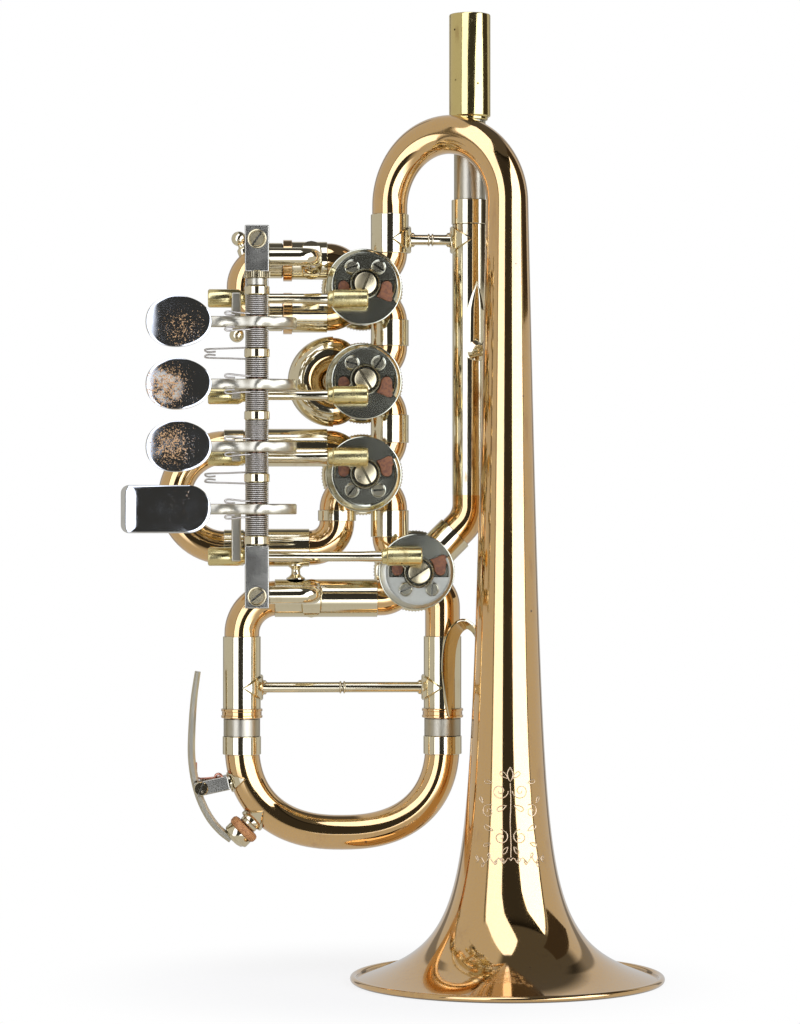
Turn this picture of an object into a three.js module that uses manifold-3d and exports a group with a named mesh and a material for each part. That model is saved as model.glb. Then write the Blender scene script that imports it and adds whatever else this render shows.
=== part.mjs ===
// A piccolo trumpet with four rotary valves, built as separate soldered, screwed and moving
// pieces. Millimetres. +Z runs along the bell axis from the rim (z = 0) to the mouthpiece end,
// +X points away from the touch pieces, and -Y is the side of the valve cranks and levers.
// Pieces are drawn with the bell axis at x = 0, y = 0, then all moved along X together, so
// that the origin is the bottom centre of the box around the whole instrument.
import * as THREE from "three";
import { mergeVertices } from "three/addons/utils/BufferGeometryUtils.js";
import Module from "manifold-3d";

const wasm = await Module();
wasm.setup();

// Tubing
const TUBE_Y = 19;
const BORE_RADIUS = 5.2;
const TUBE_RADIUS = 5.7;
const FERRULE_RADIUS = 6.2;
const OUTER_LEG = { inner: 5.65, outer: 6.15 };
const INNER_LEG = { inner: 5.0, outer: 5.45 };
const KNEE_BEND = 7;
const TUBE_SIDES = 12;
const BORE_SIDES = 8;
const BEND_STEP = Math.PI / 6;
const GAP = 0.3;
const PORT_HOLE_RADIUS = 5;
// Inner radius of a ferrule that is one piece with the tube inside it
const FERRULE_ON_TUBE = TUBE_RADIUS - 0.2;

// Bell
const BELL = { throat: 10.9, taper: 0.0174, gain: 38.1, pitch: 20.5, wall: 0.8, sides: 20 };
const BOW = { startZ: 249.6, endX: -36.9, endY: TUBE_Y, endRadius: 5.75, steps: 6 };
const BOW_FERRULE = { inner: 5.85, low: 235.3, high: 249.2 };
const RIM_RADIUS = 50.4;
// Heights of the ferrules on the crooks from valve to valve, lowest and highest edge
const CROOK_FERRULES = [[204.4, 212.9], [172.9, 182], [142.3, 151]];

// Valves: centre of each rotor, and whether its air passages lie upright or level at rest
const VALVES = [
  { x: -45.5, z: 223.5, pinSide: -1, passages: "upright" },
  { x: -45.5, z: 192.8, pinSide: -1, passages: "upright" },
  { x: -45.5, z: 162.7, pinSide: 1, passages: "upright" },
  { x: -28.3, z: 131.0, pinSide: 1, passages: "level" },
];
const PORT_OFFSET = 8.6;
const CASING = { front: 1.4, face: 2.6, back: 33, outer: 10.8, bore: 9.3, rim: 12.3, sides: 16 };
const ROTOR = { front: 6.9, back: 31, radius: 9.05, stem: 2.3, channel: 4.7, channelAt: 5.7 };
const BACK_CAP = { front: 29.6, back: 35.6, outer: 13.4, recess: 11.05, recessBack: 33.3 };
const CRANK_RADIUS = 7.4;
const PIN_AT = CRANK_RADIUS * Math.SQRT1_2;
const HUB_RADIUS = 4.6;

// Lever mechanism
const AXLE = { x: -80.2, y: -24.5, radius: 1.8, play: 0.1, bottom: 126, top: 232, sides: 10 };
const LEVER_PITCH = 19.5;
const LEVER_Z = [0, 1, 2, 3].map((i) => 209.8 - LEVER_PITCH * i);
const LEVER_THICKNESS = 3.3;
const REAR_LIMB_Y = -11;
const ROD_Y = -5.2;
const ROD_RADIUS = 1.75;
const SOCKET = { radius: 2.95, length: 11.8, beyondBall: 9 };
const BALL_RADIUS = 1.6;
const LEVER_BALL_X = AXLE.x - 6.5;
const SPACER = { radius: 3.95, height: 2.8 };
const SPRING = { inner: 2.15, outer: 3.5, low: 2, high: 8.2 };
const LEVER = { startX: -97, turnX: -69.2, bend: 6.5, width: 3 };
const LONG_PADDLE = { reach: 122.6, length: 28, height: 15 };
const ROUND_PADDLE = { middle: -104.6, length: 20.6, height: 16 };
const PADDLE_BACK = -25.6;
const BAR = { width: 7.6, front: -18.6, back: -16.2, bottom: 120.5, top: 241.5 };

// Slides
const SLIDE_1 = { legEnd: -71.6, bowX: -75.9 };
const SLIDE_2 = { bowX: -55.4, knee: 2.8, radius: 5.85 };
const SLIDE_3 = {
  lowerZ: 138.8,
  legEnd: -84,
  bowX: -90.5,
  innerEnd: -65,
  ferrule: [147.5, 151],
  elbow: 8.4,
};
const SLIDE_4 = {
  leftX: -85,
  elbow: 11.5,
  sleeveTop: 110,
  legEnd: 83.5,
  bowTop: 76.2,
  bowDrop: 30,
  upperSleeve: [-41, -74.3],
};
const SLEEVE_START_X = -57.3;
const PILLAR = { x: -67.5, low: 128.9, high: 133.2, radius: 2.4 };

// Leadpipe
const LEADPIPE = {
  x: -10.8,
  bottom: 155.8,
  collar: 244,
  collarRadius: 5.95,
  top: 252,
  bore: 5.35,
  bend: 11,
  ferruleReach: 18,
};
const LEADPIPE_INNER = { bore: 4.4, radius: 5.15, bottom: 196 };
const RECEIVER = {
  bottom: 278,
  top: 312.5,
  radius: 6.75,
  chamfer: 0.6,
  socket: 5.3,
  socketDepth: 12,
  mouth: 4.95,
  throat: 4.55,
};

const FINISHES = {
  goldBrass: { color: 0xd39a5b, roughness: 0.14, metalness: 1 },
  nickelSilver: { color: 0xcfc6b0, roughness: 0.16, metalness: 1 },
  yellowBrass: { color: 0xc9a95c, roughness: 0.22, metalness: 1 },
  satinNickel: { color: 0xb9b2a0, roughness: 0.38, metalness: 1 },
  springSteel: { color: 0x9a9a9c, roughness: 0.3, metalness: 1 },
};

const at = (x, y, z) => new THREE.Vector3(x, y, z);
const onTubePlane = (x, z) => at(x, TUBE_Y, z);

// --- solids, joined and cut -------------------------------------------------------------

function solidOf(geometry) {
  const bare = geometry.index ? geometry.toNonIndexed() : geometry.clone();
  bare.deleteAttribute("normal");
  bare.deleteAttribute("uv");
  const merged = mergeVertices(bare, 1e-3);
  return new wasm.Manifold(
    new wasm.Mesh({
      numProp: 3,
      vertProperties: merged.attributes.position.array,
      triVerts: new Uint32Array(merged.index.array),
    }),
  );
}

function geometryOf(solid) {
  const mesh = solid.getMesh();
  const geometry = new THREE.BufferGeometry();
  const position = new THREE.BufferAttribute(new Float32Array(mesh.vertProperties), 3);
  geometry.setAttribute("position", position);
  geometry.setIndex(new THREE.BufferAttribute(mesh.triVerts, 1));
  geometry.computeVertexNormals();
  return geometry;
}

function joined(...geometries) {
  const solids = geometries.map(solidOf);
  return geometryOf(solids.reduce((whole, next) => whole.add(next)));
}

function cut(geometry, ...tools) {
  const start = solidOf(geometry);
  return geometryOf(tools.map(solidOf).reduce((left, tool) => left.subtract(tool), start));
}

// --- turned shapes ------------------------------------------------------------------------

const lathe = (profile, sides) =>
  new THREE.LatheGeometry(profile.map(([r, h]) => new THREE.Vector2(r, h)), sides);

// A profile of [radius, height], turned about a line through a place along Y, Z or X.
const turnedAlongY = (profile, sides, x, z) => lathe(profile, sides).translate(x, 0, z);
const turnedAlongZ = (profile, sides, x, y) =>
  lathe(profile, sides).rotateX(Math.PI / 2).translate(x, y, 0);
const turnedAlongX = (profile, sides, y, z) =>
  lathe(profile, sides).rotateZ(-Math.PI / 2).translate(0, y, z);

const barProfile = (radius, low, high) => [[0, low], [radius, low], [radius, high], [0, high]];
const sleeveProfile = (inner, outer, low, high) => [
  [inner, low],
  [outer, low],
  [outer, high],
  [inner, high],
  [inner, low],
];

function box(low, high) {
  const size = high.clone().sub(low);
  const middle = high.clone().add(low).multiplyScalar(0.5);
  return new THREE.BoxGeometry(size.x, size.y, size.z).translate(middle.x, middle.y, middle.z);
}

// --- bent tube ----------------------------------------------------------------------------

// A route is a list of stations, each a point and the direction of travel there.
class Route extends THREE.Curve {
  constructor(stations) {
    super();
    this.stations = stations;
  }
  station(u) {
    return this.stations[Math.round(u * (this.stations.length - 1))];
  }
  getPointAt(u, target = new THREE.Vector3()) {
    return target.copy(this.station(u).point);
  }
  getTangentAt(u, target = new THREE.Vector3()) {
    return target.copy(this.station(u).direction);
  }
}

function bendStations(corner, before, after, radius) {
  const turn = before.angleTo(after);
  const axis = before.clone().cross(after).normalize();
  const start = corner.clone().addScaledVector(before, -radius * Math.tan(turn / 2));
  const centre = start.clone().add(axis.clone().cross(before).multiplyScalar(radius));
  const steps = Math.ceil(turn / BEND_STEP - 1e-6);
  return Array.from({ length: steps + 1 }, (_, k) => {
    const angle = (turn * k) / steps;
    const spoke = start.clone().sub(centre).applyAxisAngle(axis, angle);
    return { point: spoke.add(centre), direction: before.clone().applyAxisAngle(axis, angle) };
  });
}

// Straights through the corners, each inner corner rounded by its bend radius.
function routeThrough(corners, bends) {
  const headings = corners.slice(1).map((next, i) => next.clone().sub(corners[i]).normalize());
  const stations = [{ point: corners[0], direction: headings[0] }];
  bends.forEach((radius, i) => {
    stations.push(...bendStations(corners[i + 1], headings[i], headings[i + 1], radius));
  });
  stations.push({ point: corners.at(-1), direction: headings.at(-1) });
  const apart = (s, i) => i === 0 || s.point.distanceTo(stations[i - 1].point) > 0.01;
  return new Route(stations.filter(apart));
}

function roundOutline(radius, sides) {
  const turn = (2 * Math.PI) / sides;
  return Array.from(
    { length: sides },
    (_, k) => new THREE.Vector2(radius * Math.cos(k * turn), radius * Math.sin(k * turn)),
  );
}

function sweep(shape, route) {
  const steps = route.stations.length - 1;
  return new THREE.ExtrudeGeometry(shape, { steps, extrudePath: route });
}

function pipe(route, inner, outer, boreSides = BORE_SIDES) {
  const ring = new THREE.Shape(roundOutline(outer, TUBE_SIDES));
  ring.holes.push(new THREE.Path(roundOutline(inner, boreSides)));
  return sweep(ring, route);
}

const rod = (route, radius, sides = 8) =>
  sweep(new THREE.Shape(roundOutline(radius, sides)), route);

function flatBar(route, width, thickness) {
  const [w, t] = [width / 2, thickness / 2];
  const corners = [[-w, -t], [w, -t], [w, t], [-w, t]];
  return sweep(new THREE.Shape(corners.map(([a, b]) => new THREE.Vector2(a, b))), route);
}

const straightRoute = (from, to) => routeThrough([from, to], []);

// --- valve ports --------------------------------------------------------------------------

// sideX and sideZ are -1 or 1: the quarter of the casing that the port faces.
function portStart(valve, sideX, sideZ) {
  const inside = 6 * Math.SQRT1_2;
  return onTubePlane(valve.x + sideX * inside, valve.z + sideZ * inside);
}
const portCorner = (valve, sideX, sideZ) =>
  onTubePlane(valve.x + sideX * PORT_OFFSET, valve.z + sideZ * PORT_OFFSET);

const casingRoom = (valve) =>
  turnedAlongY(barProfile(CASING.outer + GAP, 5, 32), CASING.sides, valve.x, valve.z);

function portHole(valve, sideX, sideZ) {
  const outside = portCorner(valve, sideX * 1.2, sideZ * 1.2);
  return rod(straightRoute(portStart(valve, sideX, sideZ), outside), PORT_HOLE_RADIUS);
}

// --- bell and bow -------------------------------------------------------------------------

const flareRadius = (z) =>
  BELL.throat - BELL.taper * z + BELL.gain * (BELL.pitch / (z + BELL.pitch)) ** 2;

const bowSpan = Math.hypot(BOW.endX, BOW.endY);
const bowRadius = bowSpan / 2;
const bowLength = Math.PI * bowRadius;

// Inner wall of the bell, measured along its own centre line, bow included.
function innerRadius(s) {
  const start = flareRadius(BOW.startZ) - BELL.wall;
  if (s <= BOW.startZ) return flareRadius(s) - (BELL.wall * s) / BOW.startZ;
  const share = (s - BOW.startZ) / bowLength;
  return start + (BOW.endRadius - BELL.wall - start) * share;
}

function bellProfile() {
  const flareSteps = 10;
  const stations = [];
  for (let i = 0; i <= flareSteps; i++) stations.push(BOW.startZ * (i / flareSteps) ** 2.3);
  for (let i = 1; i <= BOW.steps; i++) stations.push(BOW.startZ + (bowLength * i) / BOW.steps);
  const inside = stations.map((s) => [innerRadius(s), s]);
  const outside = stations.slice(1).map((s) => {
    const slope = (innerRadius(s + 0.05) - innerRadius(s - 0.05)) / 0.1;
    const reach = BELL.wall / Math.hypot(1, slope);
    const straight = s > BOW.startZ - 1;
    return straight ? [innerRadius(s) + BELL.wall, s] : [innerRadius(s) + reach, s - slope * reach];
  });
  const bead = [
    [RIM_RADIUS - 0.3, 0],
    [RIM_RADIUS, 0.4],
    [RIM_RADIUS, 1.1],
    [RIM_RADIUS - 0.3, 1.5],
    [RIM_RADIUS - 1.4, 1.5],
  ];
  return [inside[0], ...bead, ...outside, ...inside.reverse()];
}

// Everything above the start of the bow is carried round a half circle towards its far end.
function bendIntoBow(geometry) {
  const [towardX, towardY] = [BOW.endX / bowSpan, BOW.endY / bowSpan];
  const position = geometry.getAttribute("position");
  for (let i = 0; i < position.count; i++) {
    const along = position.getZ(i) - BOW.startZ;
    if (along <= 0) continue;
    const [x, y] = [position.getX(i), position.getY(i)];
    const reach = bowRadius - (x * towardX + y * towardY);
    const aside = y * towardX - x * towardY;
    const angle = along / bowRadius;
    const out = bowRadius - reach * Math.cos(angle);
    const place = [out * towardX - aside * towardY, out * towardY + aside * towardX];
    position.setXYZ(i, place[0], place[1], BOW.startZ + reach * Math.sin(angle));
  }
  return geometry;
}

const bell = () => bendIntoBow(turnedAlongZ(bellProfile(), BELL.sides, 0, 0));

const bowFerrule = () =>
  turnedAlongZ(
    sleeveProfile(BOW_FERRULE.inner, FERRULE_RADIUS, BOW_FERRULE.low, BOW_FERRULE.high),
    TUBE_SIDES,
    BOW.endX,
    BOW.endY,
  );

function bowCrook() {
  const valve = VALVES[0];
  const top = onTubePlane(BOW.endX, BOW_FERRULE.high);
  const corners = [portStart(valve, 1, 1), portCorner(valve, 1, 1), top];
  const tube = pipe(routeThrough(corners, [KNEE_BEND]), BORE_RADIUS, TUBE_RADIUS);
  return cut(tube, casingRoom(valve));
}

// --- main line between valves -------------------------------------------------------------

function crookBetween(upper, lower, lowerSide, ferrule) {
  const corners = [
    portStart(upper, 1, -1),
    portCorner(upper, 1, -1),
    portCorner(lower, lowerSide, 1),
    portStart(lower, lowerSide, 1),
  ];
  const tube = pipe(routeThrough(corners, [KNEE_BEND, KNEE_BEND]), BORE_RADIUS, TUBE_RADIUS);
  const sleeve = turnedAlongZ(
    sleeveProfile(FERRULE_ON_TUBE, FERRULE_RADIUS, ...ferrule),
    TUBE_SIDES,
    corners[1].x,
    TUBE_Y,
  );
  return cut(joined(tube, sleeve), casingRoom(upper), casingRoom(lower));
}

// --- leadpipe -----------------------------------------------------------------------------

const leadpipeOuter = () =>
  turnedAlongZ(
    [
      [LEADPIPE.bore, LEADPIPE.bottom],
      [TUBE_RADIUS, LEADPIPE.bottom],
      [TUBE_RADIUS, LEADPIPE.collar],
      [LEADPIPE.collarRadius, LEADPIPE.collar],
      [LEADPIPE.collarRadius, LEADPIPE.top],
      [LEADPIPE.bore, LEADPIPE.top],
      [LEADPIPE.bore, LEADPIPE.bottom],
    ],
    TUBE_SIDES,
    LEADPIPE.x,
    TUBE_Y,
  );

// The gold bend turns 45 degrees from the leadpipe into the fourth valve.
function leadpipeBend() {
  const valve = VALVES[3];
  const rise = LEADPIPE.x - valve.x;
  const corner = onTubePlane(LEADPIPE.x, valve.z + rise);
  const into = portStart(valve, 1, 1);
  const top = onTubePlane(LEADPIPE.x, LEADPIPE.bottom - GAP);
  const tube = pipe(routeThrough([top, corner, into], [LEADPIPE.bend]), BORE_RADIUS, TUBE_RADIUS);
  const outward = corner.clone().sub(into).normalize();
  const middle = onTubePlane(valve.x, valve.z);
  const ferruleEnd = middle.addScaledVector(outward, LEADPIPE.ferruleReach);
  const ferrule = pipe(straightRoute(ferruleEnd, into), FERRULE_ON_TUBE, FERRULE_RADIUS);
  return cut(joined(tube, ferrule), casingRoom(valve));
}

function mouthpieceReceiver() {
  const { bottom, top, radius, chamfer, socket, mouth, throat } = RECEIVER;
  const socketEnd = bottom + RECEIVER.socketDepth;
  const profile = [
    [socket, bottom],
    [radius - chamfer, bottom],
    [radius, bottom + chamfer],
    [radius, top - chamfer],
    [radius - chamfer, top],
    [mouth, top],
    [throat, socketEnd],
    [socket, socketEnd],
    [socket, bottom],
  ];
  return turnedAlongZ(profile, TUBE_SIDES, LEADPIPE.x, TUBE_Y);
}

function leadpipeInner() {
  const { bore, radius, bottom } = LEADPIPE_INNER;
  const top = RECEIVER.bottom + RECEIVER.socketDepth - GAP;
  return turnedAlongZ(sleeveProfile(bore, radius, bottom, top), TUBE_SIDES, LEADPIPE.x, TUBE_Y);
}

// --- rotary valves ------------------------------------------------------------------------

function valveCasing(valve) {
  const wallBack = ROTOR.front - 0.3;
  const stemHole = ROTOR.stem + 0.4;
  const shell = turnedAlongY(
    [
      [stemHole, CASING.face],
      [CASING.outer + 0.1, CASING.face],
      [CASING.outer + 0.1, CASING.front],
      [CASING.rim, CASING.front],
      [CASING.rim, CASING.front + 3],
      [CASING.outer, CASING.front + 3],
      [CASING.outer, CASING.back],
      [CASING.bore, CASING.back],
      [CASING.bore, wallBack],
      [stemHole, wallBack],
      [stemHole, CASING.face],
    ],
    CASING.sides,
    valve.x,
    valve.z,
  );
  const quarters = [[1, 1], [1, -1], [-1, 1], [-1, -1]];
  return cut(shell, ...quarters.map(([sideX, sideZ]) => portHole(valve, sideX, sideZ)));
}

function rotor(valve) {
  const body = turnedAlongY(
    [
      [0, CASING.face - 0.3],
      [ROTOR.stem, CASING.face - 0.3],
      [ROTOR.stem, ROTOR.front],
      [ROTOR.radius, ROTOR.front],
      [ROTOR.radius, ROTOR.back],
      [ROTOR.stem, ROTOR.back],
      [ROTOR.stem, BACK_CAP.recessBack - 0.5],
      [0, BACK_CAP.recessBack - 0.5],
    ],
    CASING.sides,
    valve.x,
    valve.z,
  );
  const length = barProfile(ROTOR.channel, -15, 15);
  const channels = [-1, 1].map((side) => {
    const shift = side * ROTOR.channelAt;
    return valve.passages === "upright"
      ? turnedAlongZ(length, 12, valve.x + shift, TUBE_Y).translate(0, 0, valve.z)
      : turnedAlongX(length, 12, TUBE_Y, valve.z + shift).translate(valve.x, 0, 0);
  });
  return cut(body, ...channels);
}

// An outline in the XZ plane, thickened from front to back along Y.
function plate(shape, valve, front, back) {
  const slab = new THREE.ExtrudeGeometry(shape, {
    depth: back - front,
    bevelEnabled: false,
    curveSegments: 6,
  });
  return slab.rotateX(Math.PI / 2).translate(valve.x, back, valve.z);
}

// Half plate held by two screws on the side away from the crank pin, with a lug each side of
// the hub that carries the rubber bumper.
function stopPlate(valve) {
  const reach = 10.4;
  const chord = 1.5;
  const chordAngle = Math.asin(chord / reach);
  const hubAngle = Math.asin(chord / (HUB_RADIUS + 0.4));
  const outline = new THREE.Shape();
  outline.absarc(0, 0, reach, chordAngle, Math.PI - chordAngle, false);
  outline.absarc(0, 0, HUB_RADIUS + 0.4, Math.PI - hubAngle, hubAngle, true);
  const half = plate(outline, { x: 0, z: 0 }, 0.9, 2.3);
  const lugs = [-1, 1].map((hand) => {
    const low = at(hand * 7.3 - 1.4, -1.2, -1);
    return box(low, at(hand * 7.3 + 1.4, 2.3, 1.9));
  });
  const screws = [-1, 1].map((hand) =>
    turnedAlongY(barProfile(1.9, 0.2, 1.2), 8, hand * 4.8, 5.2),
  );
  const whole = joined(half, ...lugs, ...screws);
  if (valve.pinSide > 0) whole.rotateY(Math.PI);
  return whole.translate(valve.x, 0, valve.z);
}

// Hub with its screw head, and the arm out to the pin of the link.
function crank(valve) {
  const hub = turnedAlongY(
    [[0, -2.2], [3.3, -2.2], [3.3, -1.5], [HUB_RADIUS, -1.5], [HUB_RADIUS, 2], [0, 2]],
    TUBE_SIDES,
    0,
    0,
  );
  const pinZ = valve.pinSide * PIN_AT;
  const arm = new THREE.BoxGeometry(CRANK_RADIUS, 1.6, 4.4);
  arm.translate(CRANK_RADIUS / 2, -0.5, 0);
  arm.rotateY(valve.pinSide > 0 ? (-3 * Math.PI) / 4 : (3 * Math.PI) / 4);
  const boss = turnedAlongY(barProfile(2.6, -1.3, 0.3), 10, -PIN_AT, pinZ);
  const pin = turnedAlongY(barProfile(1.4, -6.2, -0.5), 8, -PIN_AT, pinZ);
  return joined(hub, arm, boss, pin).translate(valve.x, 0, valve.z);
}

const backCap = (valve) =>
  turnedAlongY(
    [
      [0, BACK_CAP.recessBack],
      [BACK_CAP.recess, BACK_CAP.recessBack],
      [BACK_CAP.recess, BACK_CAP.front],
      [BACK_CAP.outer, BACK_CAP.front],
      [BACK_CAP.outer, BACK_CAP.back],
      [0, BACK_CAP.back],
    ],
    CASING.sides,
    valve.x,
    valve.z,
  );

// --- valve slides -------------------------------------------------------------------------

// The bore of an outer leg has as many sides as the inner leg that slides in it.
const outerLeg = (from, to) =>
  pipe(straightRoute(from, to), OUTER_LEG.inner, OUTER_LEG.outer, TUBE_SIDES);
const outerLegAlongX = (fromX, toX, z) => outerLeg(onTubePlane(fromX, z), onTubePlane(toX, z));
const outerLegAlongZ = (x, fromZ, toZ) => outerLeg(onTubePlane(x, fromZ), onTubePlane(x, toZ));

// Gold knee from a left port, then the nickel outer leg out to legEnd.
function levelLeg(valve, sideZ, legEnd) {
  const corner = portCorner(valve, -1, sideZ);
  const kneeEnd = onTubePlane(SLEEVE_START_X - 1, corner.z);
  const knee = routeThrough([portStart(valve, -1, sideZ), corner, kneeEnd], [KNEE_BEND]);
  const tube = pipe(knee, BORE_RADIUS, TUBE_RADIUS);
  const leg = outerLegAlongX(SLEEVE_START_X, legEnd, corner.z);
  return cut(joined(tube, leg), casingRoom(valve));
}

// A pull-out bow: two inner legs and the half circle that joins them.
function levelBow(innerEnd, bowX, upperZ, lowerZ) {
  const far = bowX - (upperZ - lowerZ) / 2;
  const corners = [
    onTubePlane(innerEnd, upperZ),
    onTubePlane(far, upperZ),
    onTubePlane(far, lowerZ),
    onTubePlane(innerEnd, lowerZ),
  ];
  const bend = (upperZ - lowerZ) / 2;
  return pipe(routeThrough(corners, [bend, bend]), INNER_LEG.inner, INNER_LEG.outer);
}

function slide1Bow() {
  const { z } = VALVES[0];
  const tube = levelBow(SLEEVE_START_X - 1.5, SLIDE_1.bowX, z + PORT_OFFSET, z - PORT_OFFSET);
  const knobs = [1, -1].map((side) =>
    turnedAlongZ([[0, -1], [1.1, -1], [1.1, 2], [2.1, 3], [2.1, 5], [0, 6]], 8, 0, 0)
      .rotateX(side > 0 ? 0 : Math.PI)
      .translate(-84.5, TUBE_Y, z + side * (PORT_OFFSET + 3.5)),
  );
  return joined(tube, ...knobs);
}

// The short loop of the second valve has no straight legs and is soldered in.
function slide2Loop() {
  const valve = VALVES[1];
  const far = SLIDE_2.bowX - PORT_OFFSET;
  const corners = [
    portStart(valve, -1, 1),
    portCorner(valve, -1, 1),
    onTubePlane(far, valve.z + PORT_OFFSET),
    onTubePlane(far, valve.z - PORT_OFFSET),
    portCorner(valve, -1, -1),
    portStart(valve, -1, -1),
  ];
  const { knee, radius } = SLIDE_2;
  const route = routeThrough(corners, [knee, PORT_OFFSET, PORT_OFFSET, knee]);
  return cut(pipe(route, BORE_RADIUS, radius), casingRoom(valve));
}

function slide3LowerLeg() {
  const valve = VALVES[2];
  const corner = portCorner(valve, -1, -1);
  const turn = onTubePlane(corner.x, SLIDE_3.lowerZ);
  const sleeveFrom = corner.x - 9;
  const kneeEnd = onTubePlane(sleeveFrom - 1, SLIDE_3.lowerZ);
  const corners = [portStart(valve, -1, -1), corner, turn, kneeEnd];
  const tube = pipe(routeThrough(corners, [KNEE_BEND, SLIDE_3.elbow]), BORE_RADIUS, TUBE_RADIUS);
  const ferrule = turnedAlongZ(
    sleeveProfile(FERRULE_ON_TUBE, FERRULE_RADIUS, ...SLIDE_3.ferrule),
    TUBE_SIDES,
    corner.x,
    TUBE_Y,
  );
  const leg = outerLegAlongX(sleeveFrom, SLIDE_3.legEnd, SLIDE_3.lowerZ);
  const pillarProfile = barProfile(PILLAR.radius, PILLAR.low, PILLAR.high);
  const pillar = turnedAlongZ(pillarProfile, 10, PILLAR.x, TUBE_Y);
  return cut(joined(tube, ferrule, leg, pillar), casingRoom(valve));
}

const slide3Bow = () =>
  levelBow(SLIDE_3.innerEnd, SLIDE_3.bowX, VALVES[2].z + PORT_OFFSET, SLIDE_3.lowerZ);

const SLIDE_4_RIGHT_X = VALVES[3].x + PORT_OFFSET;

function slide4LeftLeg() {
  const valve = VALVES[3];
  const corner = portCorner(valve, -1, -1);
  const turn = onTubePlane(SLIDE_4.leftX, corner.z);
  const end = onTubePlane(SLIDE_4.leftX, SLIDE_4.sleeveTop - 0.5);
  const corners = [portStart(valve, -1, -1), corner, turn, end];
  const tube = pipe(routeThrough(corners, [KNEE_BEND, SLIDE_4.elbow]), BORE_RADIUS, TUBE_RADIUS);
  const [sleeveFrom, sleeveTo] = SLIDE_4.upperSleeve;
  const sleeve = outerLegAlongX(sleeveFrom, sleeveTo, corner.z);
  const filler = pipe(
    straightRoute(onTubePlane(sleeveFrom - 1, corner.z), onTubePlane(sleeveTo + 1, corner.z)),
    FERRULE_ON_TUBE,
    OUTER_LEG.inner + 0.2,
  );
  const leg = outerLegAlongZ(SLIDE_4.leftX, SLIDE_4.sleeveTop, SLIDE_4.legEnd);
  return cut(joined(tube, filler, sleeve, leg), casingRoom(valve));
}

function slide4RightLeg() {
  const valve = VALVES[3];
  const corner = portCorner(valve, 1, -1);
  const end = onTubePlane(corner.x, SLIDE_4.sleeveTop - 0.5);
  const route = routeThrough([portStart(valve, 1, -1), corner, end], [KNEE_BEND]);
  const leg = outerLegAlongZ(corner.x, SLIDE_4.sleeveTop, SLIDE_4.legEnd);
  return cut(joined(pipe(route, BORE_RADIUS, TUBE_RADIUS), leg), casingRoom(valve));
}

// The long bow hangs as half of a rounded, nearly elliptical loop.
function longBowRoute() {
  const middleX = (SLIDE_4.leftX + SLIDE_4_RIGHT_X) / 2;
  const half = (SLIDE_4_RIGHT_X - SLIDE_4.leftX) / 2;
  const power = 2 / 2.4;
  const onLoop = (angle) => {
    const [c, s] = [Math.cos(angle), Math.sin(angle)];
    const x = middleX - half * Math.sign(c) * Math.abs(c) ** power;
    return onTubePlane(x, SLIDE_4.bowTop - SLIDE_4.bowDrop * Math.abs(s) ** power);
  };
  const steps = 10;
  const angles = Array.from({ length: steps - 1 }, (_, k) => (Math.PI * (k + 1)) / steps);
  const points = [
    onTubePlane(SLIDE_4.leftX, SLIDE_4.sleeveTop - 1),
    onTubePlane(SLIDE_4.leftX, SLIDE_4.bowTop),
    ...angles.map(onLoop),
    onTubePlane(SLIDE_4_RIGHT_X, SLIDE_4.bowTop),
    onTubePlane(SLIDE_4_RIGHT_X, SLIDE_4.sleeveTop - 1),
  ];
  const last = points.length - 1;
  const stations = points.map((point, i) => {
    const before = points[Math.max(i - 1, 0)];
    const after = points[Math.min(i + 1, last)];
    const straight = i <= 1 || i >= last - 1;
    const direction = after.clone().sub(before).normalize();
    if (straight) direction.set(0, 0, i <= 1 ? -1 : 1);
    return { point, direction };
  });
  return new Route(stations);
}

// Lower left of the long bow, where its wall faces outward and down: seat of the water key.
const NIPPLE_FOOT = onTubePlane(-77.6, 54.2);
const OUTWARD = at(-1, 0, -1).normalize();
const outFromFoot = (distance) => NIPPLE_FOOT.clone().addScaledVector(OUTWARD, distance);

function slide4Bow() {
  const tube = pipe(longBowRoute(), INNER_LEG.inner, INNER_LEG.outer);
  const nipple = rod(straightRoute(outFromFoot(4.4), outFromFoot(8)), 3.1);
  const vent = rod(straightRoute(outFromFoot(2), outFromFoot(9)), 1.4, 8);
  return cut(joined(tube, nipple), vent);
}

function waterKey() {
  const spine = new THREE.CatmullRomCurve3([
    onTubePlane(-99.3, 98.3),
    onTubePlane(-101.1, 80),
    onTubePlane(-100.8, 66),
    onTubePlane(-98.2, 56.5),
    onTubePlane(-93.6, 49),
    onTubePlane(-88.6, 44.4),
  ]);
  const steps = 12;
  const stations = Array.from({ length: steps + 1 }, (_, k) => ({
    point: spine.getPointAt(k / steps),
    direction: spine.getTangentAt(k / steps),
  }));
  const strip = flatBar(new Route(stations), 4.6, 1.2);
  const cup = rod(straightRoute(outFromFoot(8.3), outFromFoot(14.8)), 4.9, 12);
  const eye = turnedAlongY(barProfile(2.1, TUBE_Y - 2.3, TUBE_Y + 2.3), 10, -98.2, 60.8);
  return joined(strip, cup, eye);
}

// Two ears on a foot that is soldered to the outside of the bow, one each side of the eye.
function waterKeySaddle() {
  const ears = [-1, 1].map((side) => {
    const near = TUBE_Y + side * 2.7;
    const far = TUBE_Y + side * 4.1;
    return box(at(-99.6, Math.min(near, far), 58.9), at(-90.2, Math.max(near, far), 64.4));
  });
  const foot = box(at(-91.8, TUBE_Y - 4.1, 58.9), at(-89.9, TUBE_Y + 4.1, 64.4));
  return joined(...ears, foot);
}

// --- braces -------------------------------------------------------------------------------

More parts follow.
